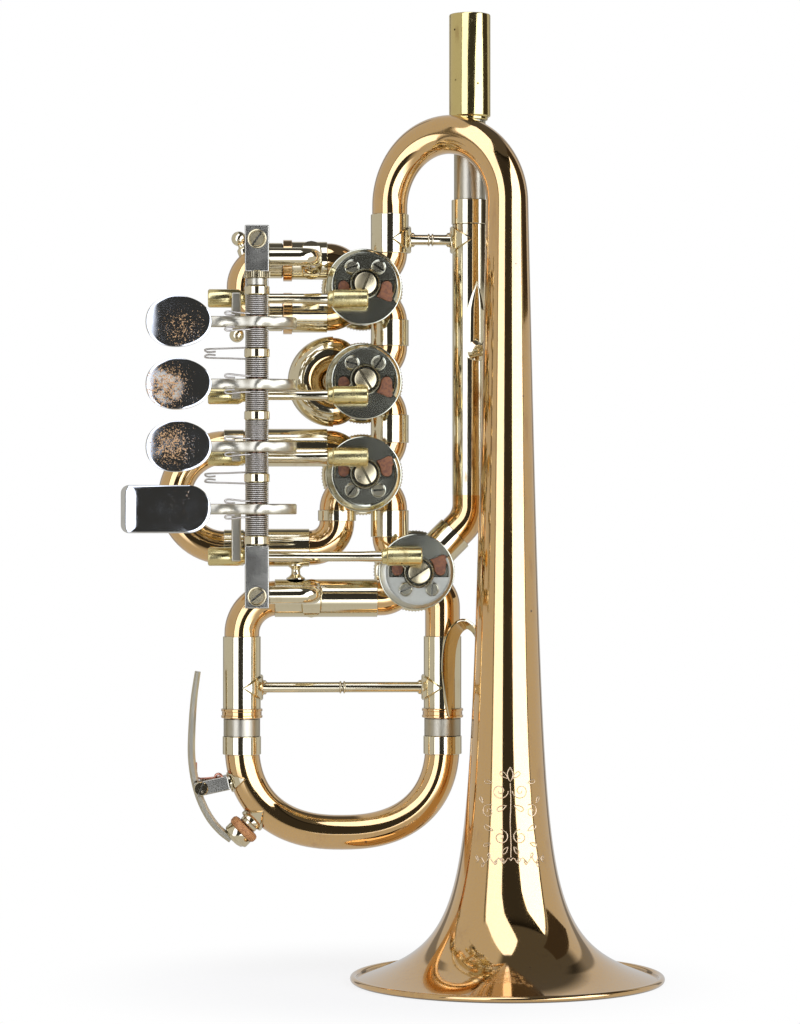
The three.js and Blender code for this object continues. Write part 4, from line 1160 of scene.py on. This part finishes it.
def build_water_key():
    nipple = [
        (3.05, 4.6), (3.1, 5.0), (3.1, 7.6), (2.9, 7.95), (1.5, 8.0), (1.4, 7.6), (0.6, 6.5),
    ]
    piece("nipple", turned(nipple, FOOT, OUTWARD, 48), "nickel", "slide_4")
    key_foot("nipple_foot", FOOT, OUTWARD, 8.6, 4.2)
    key_foot("saddle_foot", in_plane(-83.0, 64.4), Vector((-1, 0, -0.3)).normalized(), 8.6, 3.4)
    cork = [
        (4.2, 8.2), (4.7, 8.4), (5.05, 8.9), (5.15, 9.6), (5.05, 10.4), (4.7, 10.85), (4.2, 11.0),
    ]
    piece("cork_pad", turned(cork, FOOT, OUTWARD, 48), "cork", "water_key")
    cup = [
        (4.3, 10.9), (4.55, 11.05), (4.6, 11.3), (4.6, 13.2), (4.35, 13.6), (3.9, 13.75),
        (3.4, 14.4), (2.2, 14.8), (0.4, 14.9),
    ]
    piece("key_cup", turned(cup, FOOT, OUTWARD, 48), "nickel", "water_key", ("water_key",))
    spots = [
        (-99.3, 98.6), (-100.5, 90.0), (-101.2, 80.0), (-101.3, 71.0), (-100.2, 63.0),
        (-98.2, 56.5), (-95.3, 50.9), (-91.9, 46.9), (-88.4, 44.2),
    ]
    stations = smooth_route([in_plane(x, z) for x, z in spots], 44)
    last = len(stations) - 1

    def widths(i):
        u = i / last
        half = 0.95 + 0.25 * math.sin(math.pi * min(1.0, u * 1.2)) + 0.6 * max(0.0, u - 0.45)
        return (half, half)

    lever = strip(stations, widths, 4.4, Vector((1, 0, 0)), 0.62)
    piece("key_lever", lever, "lever_metal", "water_key")
    hinge = in_plane(-98.2, 60.8)
    eye = turned(bar(1.9, -2.4, 2.4), (hinge.x, TUBE_Y, hinge.z), "Y", 32)
    piece("key_eye", eye, "nickel", "water_key")
    screw = slotted_head(2.3, hinge.x, hinge.z, TUBE_Y - 4.7, TUBE_Y - 2.6, 70)
    piece("key_screw", screw, "nickel", "slide_4", sharp=30)
    tilt = Matrix.Rotation(math.radians(-12), 4, "Y")
    pivot = Vector((hinge.x, TUBE_Y, hinge.z))
    turn = Matrix.Translation(pivot) @ tilt @ Matrix.Translation(-pivot)
    for label, near, far in (("front", -4.1, -2.6), ("back", 2.6, 4.1)):
        ear = block(
            (hinge.x - 1.9, TUBE_Y + near, hinge.z - 2.3),
            (hinge.x + 9.2, TUBE_Y + far, hinge.z + 2.3),
        )
        nodes = ("water_key_saddle",) if label == "front" else ()
        piece(f"key_ear_{label}", ear, "bar", "slide_4", nodes, bevel=0.35, turn=turn)
    spring = []
    for k in range(3 * 24 + 1):
        angle = math.radians(15 * k)
        spring.append(
            Vector((hinge.x + 5.6 + 1.1 * math.cos(angle), TUBE_Y - 1.5 + 0.045 * k,
                    hinge.z + 3.4 + 1.1 * math.sin(angle)))
        )
    tail = [Vector((hinge.x + 1.0, TUBE_Y + 1.9, hinge.z + 2.9)),
            Vector((hinge.x - 1.4, TUBE_Y + 1.9, hinge.z + 3.4)),
            Vector((hinge.x - 1.7, TUBE_Y + 1.2, hinge.z + 8.2))]
    piece("key_spring", tube(smooth_route(spring + tail, 140), 0.38, 10, 0.05), "copper", "slide_4")


build_water_key()


# --- braces and feet ------------------------------------------------------------------------


def pointed_foot(name, x, z, tube_radius, toward, reach, half):
    """Three-cornered foot wrapped on an upright tube; toward is 1 if its stay leaves to +X.
    Returns the flange round the stay."""
    plain = arrow(tube_radius, reach, half)
    for label, facing in (("front", -1), ("rear", 1)):

        def outline(u, way=-facing * toward):
            position, width = plain(u)
            return (way * position, width)

        shape = wrapped(in_plane(x, z), (0, 0, 1), (0, facing, 0), tube_radius, 0.8, outline)
        piece(f"{name}_{label}", shape, "nickel", sharp=50)
    profile = [
        (half, -0.5), (half, 0.3), (half - 0.3, 0.55), (2.6, 0.65), (2.35, 0.9), (2.3, 1.5),
        (1.8, 1.9),
    ]
    return turned(profile, in_plane(x + toward * (tube_radius + 0.1), z), (toward, 0, 0), 40)


def stay(name, node, left, right, z, left_radius, right_radius, half, reach):
    start = pointed_foot(f"{name}_left", left, z, left_radius, 1, reach, half)
    end = pointed_foot(f"{name}_right", right, z, right_radius, -1, reach, half)
    squeeze = 0.62
    squeezed = [
        ([Vector((v.x, TUBE_Y + (v.y - TUBE_Y) * squeeze, v.z)) for v in vertices], faces)
        for vertices, faces in (start, end)
    ]
    low, high = left + left_radius, right - right_radius
    centre = (low + high) / 2
    bead = [(1.7, 0.95), (2.0, 0.8), (2.05, 0.6), (2.0, 0.4), (1.5, 0.2)]
    profile = [(1.9, low + 0.6), (1.7, low + 2.4)]
    profile += [(radius, centre - away) for radius, away in bead]
    profile += [(radius, centre + away) for radius, away in reversed(bead)]
    profile += [(1.7, high - 2.4), (1.9, high - 0.6)]
    rod = turned(profile, (0, TUBE_Y, z), "X", 40)
    piece(f"{name}_rod", merged(rod, *squeezed), "nickel", nodes=(node,), sharp=30)


stay("upper_stay", "upper_brace", BOW_END.x, LEADPIPE_X, 239.0, FERRULE, TUBE, 4.4, 9.4)
stay("lower_stay", "slide_4_brace", SLIDE_4_LEFT, SLIDE_4_RIGHT, 93.4, LEG, LEG, 4.2, 9.4)


def build_bell_brackets():
    low, high, widest = 199.2, 225.3, 3.4

    def leaf(u):
        from_tip = (high - low) * (1 - u)
        if u < 0.11:
            return widest * math.sqrt(1 - (1 - u / 0.11) ** 2)
        if from_tip < 9:
            return 3.0 * (from_tip / 9) ** 0.85
        return 3.0 + (widest - 3.0) * (from_tip - 9) / 16

    rings = []
    steps, facing = 40, 0.33
    for i in range(steps + 1):
        u = i / steps
        centre = in_plane(LEADPIPE_X, low + (high - low) * u)
        half = max(0.05, leaf(u) if 0 < u < 1 else 0.05)
        outer, inner = [], []
        for k in range(9):
            w = 2 * k / 8 - 1
            angle = (half * w) / TUBE + facing
            normal = Vector((math.sin(angle), -math.cos(angle), 0))
            ridge = 0.75 - 0.45 * abs(w) ** 2.5
            outer.append(centre + normal * (TUBE + ridge))
            inner.append(centre + normal * (TUBE - 0.3))
        rings.append(outer + inner[::-1])
    piece("leaf_foot", skin(rings), "nickel", nodes=("bell_bracket_upper",), sharp=50)
    spots = [(-9.6, 12.7, 203.0), (-8.2, 10.9, 202.6), (-6.6, 9.0, 203.0), (-4.9, 7.0, 203.6)]
    radii = [
        3.1, 2.9, 2.6, 2.35, 2.15, 2.0, 1.95, 1.9, 1.9, 1.9, 1.95, 2.0, 2.1, 2.25, 2.45, 2.7, 3.0,
        3.3, 3.6,
    ]
    neck = swept(smooth_route(spots, len(radii) - 1), lambda i: circle(radii[i], 40))
    piece("leaf_strut", neck, "nickel")
    spots = [
        (-18.0, 12.1, 84.0), (-18.1, 11.75, 90.0), (-18.3, 11.6, 98.0), (-17.9, 11.5, 106.0),
        (-16.2, 11.0, 111.6), (-13.3, 10.1, 114.2), (-10.6, 8.9, 113.0), (-8.7, 7.9, 110.0),
    ]
    stations = smooth_route(spots, 40)
    last = len(stations) - 1

    def widths(i):
        u = i / last
        half = 2.6 * min(1.0, 0.06 + (u / 0.34) ** 0.8)
        return (half, half)

    shape = strip(stations, widths, 0.9, Vector((0.83, 0.56, 0)), 0.18)
    piece("strip_bracket", shape, "nickel", nodes=("bell_bracket_lower",))


build_bell_brackets()


# --- lever frame ----------------------------------------------------------------------------


def build_frame():
    low, high = design_box("lever_frame")
    width = 7.6
    left, right = AXLE_X - width / 2, AXLE_X + width / 2
    front = low.y
    bar_front, bar_back = -18.6, -16.2
    side_inset, back_inset = 0.15, 0.35
    shape = block(
        (left + side_inset, bar_front, low.z + 1), (right - side_inset, bar_back, high.z - 3)
    )
    piece("frame_bar", shape, "bar", nodes=("lever_frame",), bevel=0.35)
    for label, bottom, top in (("lower", low.z, 139.8), ("upper", 225.2, 239.8)):
        shape = block((left, front, bottom), (right, bar_back + back_inset, top))
        piece(f"frame_block_{label}", shape, "bar", bevel=0.4)
    for label, z, angle in (("upper", 235.5, 55), ("lower", 124.1, 40)):
        head = slotted_head(2.45, AXLE_X, z, front - 0.5, front + 0.2, angle)
        piece(f"frame_screw_{label}", head, "hub_screw", sharp=30)
        seat = turned(
            [(2.5, front - 0.1), (2.55, front - 0.25), (2.75, front - 0.3), (2.95, front - 0.2),
             (3.0, front + 0.2), (2.5, front + 0.2), (2.5, front - 0.1)],
            (AXLE_X, 0, z), "Y", 40,
        )
        piece(f"frame_screw_seat_{label}", seat, "hub_screw")

    def foot_outline(u):
        return (14.2 * (u - 0.5), 3.3 * math.sqrt(max(0.0, 1 - (2 * u - 1) ** 4)) + 0.02)

    post_x, bar_middle = -62.5, (bar_front + bar_back) / 2
    legs = (("upper", 230.7, VALVES[0].z + PORT), ("lower", 124.3, VALVES[3].z - PORT))
    for label, z, leg_z in legs:
        corners = [(AXLE_X, bar_middle, z), (post_x, bar_middle, z), (post_x, 13.0, z)]
        piece(f"frame_post_{label}", tube(route(corners, [4]), 2.8, 40), "nickel")
        foot = wrapped(in_plane(post_x, leg_z), (1, 0, 0), (0, -1, 0), LEG, 0.7, foot_outline)
        piece(f"post_foot_{label}", foot, "nickel", sharp=50)
        profile = [(3.6, 13.2), (3.4, 12.4), (2.9, 11.7), (2.5, 10.9)]
        collar = turned(profile, (post_x, 0, z), "Y", 40)
        piece(f"post_collar_{label}", collar, "nickel")


def on_axle(profile, sides, knurl=None):
    return turned(profile, (AXLE_X, AXLE_Y, 0), "Z", sides, knurl)


def build_axle():
    rod = AXLE_RADIUS
    profile = [(rod, z) for z in (126.0, *reversed(LEVER_Z), 231.5)]
    piece("axle_rod", on_axle(profile, 40), "nickel", nodes=("lever_axle",))
    pitch = LEVER_Z[0] - LEVER_Z[1]
    for i in range(5):
        z = LEVER_Z[0] + pitch * (0.5 - i)
        piece(f"spacer_ring_{i + 1}", on_axle(sleeve(rod, 3.97, z - 1.4, z + 1.4, 0.3), 56), "nickel")
    piece("axle_collar", on_axle(sleeve(rod, 3.05, 221.0, 223.5, 0.25), 48), "lever_metal")
    knurl = (0.4, 223.5, 225.6, 4.0)
    nut = [
        (rod, 223.4), (3.7, 223.4), (4.1, 223.55), (4.1, 225.4), (3.7, 225.65), (rod, 225.65),
        (rod, 223.4),
    ]
    piece("axle_nut", on_axle(nut, 144, knurl), "hub_screw", sharp=25)
    washers = []
    for z in LEVER_Z:
        for low, high in ((z - 2.0, z - 1.68), (z + 1.68, z + 2.0)):
            washers.append(on_axle(sleeve(rod, 2.7, low, high, 0.08), 40))
    piece("axle_washers", merged(*washers), "copper")


def wire(height, side, radius, steps, bends):
    """Spring wire through bends of (x, y from the axle, height towards side)."""
    points = [(AXLE_X + x, AXLE_Y + y, height + side * rise) for x, y, rise in bends]
    return tube(smooth_route(points, steps), radius, 10, 0.04)


def build_springs():
    turns, inner = 10, 2.2
    start, end = 2.05, 8.2
    gap = (end - start) / turns
    round_wire = ((0.02, 2.8), (0.2, 3.4), (0.5, 3.52), (0.8, 3.4), (0.98, 2.8))
    short_hook = (
        (3.2, -1.2, 0), (-3.4, -2.8, 0), (-8.6, -3.6, 0.5), (-9.9, -3.8, 0.15),
        (-9.4, -4.1, -0.5), (-6.8, -4.4, -0.6),
    )
    long_hook = (
        (3.2, 1.2, 0), (-3.4, 2.0, 0), (-9.0, 2.6, 0.2), (-15.4, 3.4, 0.4), (-16.2, 3.4, 0.9),
        (-15.2, 3.2, 1.35), (-12.9, 3.0, 1.2),
    )
    for i, z in enumerate(LEVER_Z, 1):
        coils = []
        for low in (z - end, z + start):
            profile = [(inner, low)]
            for t in range(turns):
                profile += [(reach, low + gap * (t + share)) for share, reach in round_wire]
            profile += [(inner, low + gap * turns), (inner, low)]
            coils.append(on_axle(profile, 40))
        piece(f"spring_coils_{i}", merged(*coils), "steel", nodes=(f"lever_spring_{i}",), sharp=80)
        wires = [wire(z + side * 2.5, side, 0.3, 30, short_hook) for side in (-1, 1)]
        side = -1 if i % 2 else 1
        wires.append(wire(z + side * 8.0, side, 0.28, 36, long_hook))
        piece(f"spring_wires_{i}", merged(*wires), "steel")


def build_levers():
    paddle_wear = (
        ((-103.5, -26.5, -2.5), 0.0, 11, 0.16),
        ((-108.5, -26.5, -1.0), 0.9, 12, 0.24),
        ((-107.0, -26.5, 0.5), 0.25, 11, 0.22),
        ((-104.0, -26.5, 3.0), 0.0, 8, 0.05),
    )
    for i, z in enumerate(LEVER_Z, 1):
        body = f"lever_{i}"
        spot, patch, spread, amount = paddle_wear[i - 1]
        centre = (spot[0] + AXIS_X, spot[1], spot[2] + z)
        finish = ("touch_plate", touch_plate(f"touch_plate_{i}", centre, patch, spread, amount))
        long = i == 4
        outline = long_outline() if long else oval_outline()
        middle_x = -108.6 if long else -104.6
        shape = crowned_plate(outline, middle_x, z, -27.1, 1.5, long)
        piece(f"touch_piece_{i}", shape, finish, body, sharp=45)
        front_y = AXLE_Y - 0.4
        corners = [
            (-98.5, front_y, z), (-69.2, front_y, z), (-69.2, REAR_LIMB_Y, z),
            (LEVER_BALL_X + 1.2, REAR_LIMB_Y, z),
        ]
        stations = dense(route(corners, [6.5, 6.5], 5), 1.0)

        def widths(k, stations=stations):
            point = stations[k][0]
            bulge = 0.0
            if point.y < AXLE_Y + 1:
                bulge = math.exp(-(((point.x - AXLE_X) / 4.0) ** 2))
            neck = 1.5 + 0.7 * math.exp(-(((point.x + 92) / 3.0) ** 2)) * (point.y < AXLE_Y + 1)
            return (neck + 3.1 * bulge, neck + 2.4 * bulge)

        shape = strip(stations, widths, 3.3, Vector((0, 1, 0)), 0.3)
        piece(f"lever_plate_{i}", shape, "lever_metal", body, (f"lever_{i}",), sharp=50)
        drop = ROD_Z[i - 1]
        span = sorted((drop, z))
        riser = block(
            (LEVER_BALL_X - 1.5, REAR_LIMB_Y - 1.4, span[0] - 1.5),
            (LEVER_BALL_X + 1.5, REAR_LIMB_Y + 0.4, span[1] + 1.5),
        )
        piece(f"lever_riser_{i}", riser, "lever_metal", body, bevel=0.5)
        stud = turned(
            [(1.0, REAR_LIMB_Y - 0.3), (1.0, ROD_Y - 1.3), (1.45, ROD_Y - 0.7), (1.6, ROD_Y),
             (1.45, ROD_Y + 0.7), (0.9, ROD_Y + 1.3), (0.2, ROD_Y + 1.6)],
            (LEVER_BALL_X, 0, drop), "Y", 28,
        )
        piece(f"lever_ball_{i}", stud, "nickel", body)


def dense(stations, gap):
    """Adds stations on long straights, so that a width may change along them."""
    made = [stations[0]]
    for (a, along_a), (b, along_b) in zip(stations, stations[1:]):
        count = max(1, round((b - a).length / gap))
        for k in range(1, count + 1):
            along = along_a.lerp(along_b, k / count).normalized()
            made.append((a.lerp(b, k / count), along))
    return made


def oval_outline():
    points = []
    for k in range(72):
        angle = 2 * math.pi * k / 72
        c, s = math.cos(angle), math.sin(angle)
        x = 10.3 * math.copysign(abs(c) ** 0.95, c)
        z = 8.0 * math.copysign(abs(s) ** 0.95, s) * (1 - 0.06 * c)
        points.append((x, z))
    return points


def long_outline():
    near = arc(7.0, 0, 90, 14, 7.0, 0.5) + arc(2.6, 90, 180, 8, -11.4, 4.9)
    return near + arc(2.6, 180, 270, 8, -11.4, -4.9) + arc(7.0, 270, 360, 14, 7.0, -0.5)


def crowned_plate(outline, x, z, front, thickness, long):
    """Thin plate whose far end curls back a little, with a rounded edge."""
    flat, lean = (-8.0, 0.055) if long else (3.0, 0.0072)

    def depth(a, b):
        return lean * max(0.0, flat - a) ** 2 + 0.0009 * b * b

    edge = thickness
    rounded = [
        (0.0, 0.90), (0.0, 0.96), (0.12, 0.99), (0.45, 1.0), (edge - 0.45, 1.0), (edge - 0.1, 0.985),
        (edge, 0.95),
    ]
    inner = [0.04, 0.2, 0.4, 0.6, 0.8]
    layers = [(0.0, s) for s in inner] + rounded + [(edge, s) for s in reversed(inner)]
    return skin([
        [Vector((x + a * s, front + down + depth(a * s, b * s), z + b * s)) for a, b in outline]
        for down, s in layers
    ])


def build_rods():
    for i, z in enumerate(ROD_Z, 1):
        body = f"rod_{i}"
        low, high = design_box(f"link_rod_{i}")
        left, right = low.x, high.x
        rod = [
            (1.5, left + 11.6), (1.75, left + 13.0), (1.75, left + 16), (1.6, left + 18),
            (1.6, right - 20), (1.75, right - 16), (1.75, right - 11.5),
        ]
        piece(f"rod_bar_{i}", turned(rod, (0, ROD_Y, z), "X", 36), "nickel", body, (f"link_rod_{i}",))
        crank_end = [
            (1.8, right - 12.9), (2.35, right - 12.6), (2.5, right - 11.8), (2.55, right - 11.3),
            (2.9, right - 10.9), (2.95, right - 10.5), (2.95, right - 0.35), (2.7, right),
        ]
        piece(f"crank_socket_{i}", turned(crank_end, (0, ROD_Y, z), "X", 48), "old_brass", body, sharp=30)
        lever_end = [
            (2.5, left), (2.85, left + 0.25), (2.95, left + 0.6), (2.95, left + 9.6),
            (2.6, left + 10.4), (2.2, left + 11.0), (2.1, left + 12.0), (1.6, left + 12.3),
        ]
        piece(f"lever_socket_{i}", turned(lever_end, (0, ROD_Y, z), "X", 48), "old_brass", body, sharp=30)
        dome = turned(
            [(1.7, -3.1), (1.65, -3.5), (1.35, -3.95), (0.8, -4.25), (0.15, -4.35)],
            (LEVER_BALL_X, ROD_Y, z), "Y", 28,
        )
        piece(f"socket_cap_{i}", dome, "brass", body)


build_frame()
build_axle()
build_springs()
build_levers()
build_rods()

# Rotors stay as CAD; they sit inside the casings.
for i in (1, 2, 3, 4):
    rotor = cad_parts[f"rotor_{i}"]
    rotor.data.materials.clear()
    rotor.data.materials.append(FINISH["brass"][1])


# --- studio ---------------------------------------------------------------------------------


def build_floor():
    half = 0.45
    mesh = bpy.data.meshes.new("studio_floor")
    rings = 24
    sides = 96
    vertices = [(0.0, 0.0, 0.0)]
    faces = []
    for i in range(1, rings + 1):
        radius = half * (i / rings) ** 2
        for k in range(sides):
            angle = 2 * math.pi * k / sides
            vertices.append((radius * math.cos(angle), radius * math.sin(angle), 0.0))
    for k in range(sides):
        faces.append((0, 1 + k, 1 + (k + 1) % sides))
    for i in range(rings - 1):
        a, b = 1 + i * sides, 1 + (i + 1) * sides
        for k in range(sides):
            m = (k + 1) % sides
            faces.append((a + k, b + k, b + m, a + m))
    mesh.from_pydata(vertices, [], faces)
    paint, g = material("pale_floor")
    place = g.add("ShaderNodeNewGeometry").outputs["Position"]
    away = g.add("ShaderNodeVectorMath", {"operation": "LENGTH"}, i0=place).outputs["Value"]
    seen = g.add("ShaderNodeLightPath").outputs["Is Camera Ray"]
    level = g.plus(0.57, g.times(seen, 0.43))
    glow = g.add("ShaderNodeEmission", Color=(1, 1, 1, 1), Strength=level)
    matt = g.add("ShaderNodeBsdfDiffuse", Color=(0.98, 0.94, 0.88, 1))
    share = g.ramp(away, 0.04, 0.12, 0.8, 1.0)
    top = g.add("ShaderNodeMixShader", i0=share, i1=matt.outputs[0], i2=glow.outputs[0])
    clear = g.add("ShaderNodeBsdfTransparent")
    fade = g.ramp(away, 0.14, 0.42)
    both = g.add("ShaderNodeMixShader", i0=fade, i1=top.outputs[0], i2=clear.outputs[0])
    g.add("ShaderNodeOutputMaterial", Surface=both.outputs[0])
    shown("studio_floor", mesh, paint)


def band(g, value, low, high, blur):
    rise = g.ramp(value, low - blur, low + blur)
    fall = g.ramp(value, high - blur, high + blur, 1.0, 0.0)
    return g.times(rise, fall)


def build_studio_light(toward_camera):
    """White tent with a tall soft box each side of a dark gap where the camera stands."""
    world = bpy.data.worlds.new("studio")
    bpy.context.scene.world = world
    world.use_nodes = True
    g = Graph(world.node_tree)
    ray = g.add("ShaderNodeTexCoord").outputs["Generated"]
    right = Vector((-toward_camera.y, toward_camera.x, 0))
    ahead = g.add("ShaderNodeVectorMath", {"operation": "DOT_PRODUCT"}, i0=ray, i1=toward_camera)
    aside = g.add("ShaderNodeVectorMath", {"operation": "DOT_PRODUCT"}, i0=ray, i1=right)
    azimuth = g.math("ARCTAN2", aside.outputs["Value"], ahead.outputs["Value"])
    azimuth = g.times(azimuth, math.degrees(1))
    up = g.add("ShaderNodeSeparateXYZ", i0=ray).outputs[2]
    height = g.times(g.math("ARCSINE", up), math.degrees(1))

    def climb(low, high, slope):
        held = g.math("MINIMUM", g.math("MAXIMUM", height, low), high)
        return g.times(g.minus(held, low), slope)

    def past(start, *climbs, blur=0.8):
        edge = start
        for step in climbs:
            edge = g.plus(climb(*step), edge)
        return g.ramp(g.minus(azimuth, edge), -blur, blur)

    def without(a, b):
        return g.times(a, g.minus(1.0, b))

    gap_start = past(-23.0, (-10, 8, 0.5), (24, 36, 0.5), (36, 62, 1.2))
    gap_end = past(2.5, (-10, 8, 1.25), (8, 22, 0.4), (22, 32, 1.1), (32, 46, 2.7))
    box_end = past(47.0, (-10, 8, 1.7))
    tall = g.ramp(azimuth, -47.0, -22.0)
    left_box = without(past(-50.5, (-4, 4, 0.5)), gap_start)
    slant = g.plus(height, g.times(azimuth, 0.52))
    left_box = g.times(left_box, g.ramp(slant, -59.5, -56.5))
    top_edge = g.plus(41.0, g.times(tall, 42.0))
    left_box = without(left_box, g.ramp(g.minus(height, top_edge), -2.0, 2.0))
    right_box = without(g.times(gap_end, band(g, height, -60, 45, 1.5)), box_end)
    gap = g.times(without(gap_start, gap_end), band(g, height, -70, 46, 1.0))
    along_roof = g.math("DIVIDE", ahead.outputs["Value"], g.math("MAXIMUM", up, 0.01))
    across_roof = g.math("DIVIDE", aside.outputs["Value"], g.math("MAXIMUM", up, 0.01))
    roof = g.ramp(across_roof, -0.12, -0.04)
    roof = g.times(roof, g.ramp(across_roof, 1.5, 1.6, 1.0, 0.0))
    roof = g.times(roof, g.ramp(along_roof, -1.25, -1.15))
    roof = g.times(roof, g.ramp(height, 36, 47))
    roof = without(without(roof, right_box), left_box)
    lines = g.plus(without(past(-55.0, (-4, 4, 0.5)), past(-52.5, (-4, 4, 0.5))),
                   without(box_end, past(51.0, (-10, 8, 1.7))))
    lines = g.times(lines, band(g, height, -60, 40, 2.0))
    behind = g.math("ABSOLUTE", azimuth)
    strips = g.times(band(g, behind, 140, 152, 1.5), band(g, height, -30, 50, 3.0))
    tent = without(0.57, g.times(strips, 0.6))
    tent = without(tent, g.times(lines, 0.8))
    tent = without(tent, g.times(gap, 0.93))
    tent = without(tent, g.times(roof, 0.84))
    colour = g.add("ShaderNodeCombineColor", i0=tent, i1=tent, i2=tent).outputs[0]
    for box, tint in ((left_box, (1.4, 1.6, 2.2, 1)), (right_box, (2.3, 2.6, 3.4, 1))):
        lit = g.mix(box, (0, 0, 0, 1), tint)
        colour = g.add("ShaderNodeVectorMath", {"operation": "ADD"}, i0=colour, i1=lit).outputs[0]
    seen = g.add("ShaderNodeLightPath").outputs["Is Camera Ray"]
    colour = g.mix(seen, colour, (1, 1, 1, 1))
    glow = g.add("ShaderNodeBackground", Color=colour, Strength=1.0)
    g.add("ShaderNodeOutputWorld", Surface=glow.outputs[0])


def build_card():
    """Dark card to the right of the camera, seen only in polished metal."""
    radius, first, span, steps = 0.6, 80, 36, 12
    vertices = []
    for z in (0.26, 0.9):
        for k in range(steps + 1):
            angle = math.radians(first + span * k / steps)
            vertices.append((radius * math.sin(angle), -radius * math.cos(angle), z))
    faces = [(k, k + 1, k + steps + 2, k + steps + 1) for k in range(steps)]
    mesh = bpy.data.meshes.new("dark_card")
    mesh.from_pydata(vertices, [], faces)
    paint, g = material("dark_cloth")
    glow = g.add("ShaderNodeEmission", Color=(1.0, 0.82, 0.66, 1), Strength=0.05)
    g.add("ShaderNodeOutputMaterial", Surface=glow.outputs[0])
    made = shown("dark_card", mesh, paint)
    made.visible_camera = False
    made.visible_diffuse = False
    made.visible_shadow = False


def build_camera():
    data = bpy.data.cameras.new("camera")
    data.sensor_fit = "VERTICAL"
    data.sensor_height = 24.0
    data.sensor_width = 24.0
    data.lens = 79.9
    data.clip_end = 20
    made = bpy.data.objects.new("camera", data)
    bpy.context.scene.collection.objects.link(made)
    target = Vector((0.0017, 0.0, 0.1504))
    forward = Vector((0.044, 1.0, 0.0)).normalized()
    made.location = target - forward * 1.091
    made.rotation_mode = "QUATERNION"
    made.rotation_quaternion = forward.to_track_quat("-Z", "Y")
    bpy.context.scene.camera = made
    return -forward


build_floor()
build_card()
build_studio_light(build_camera())
bpy.context.scene.view_settings.view_transform = "Standard"
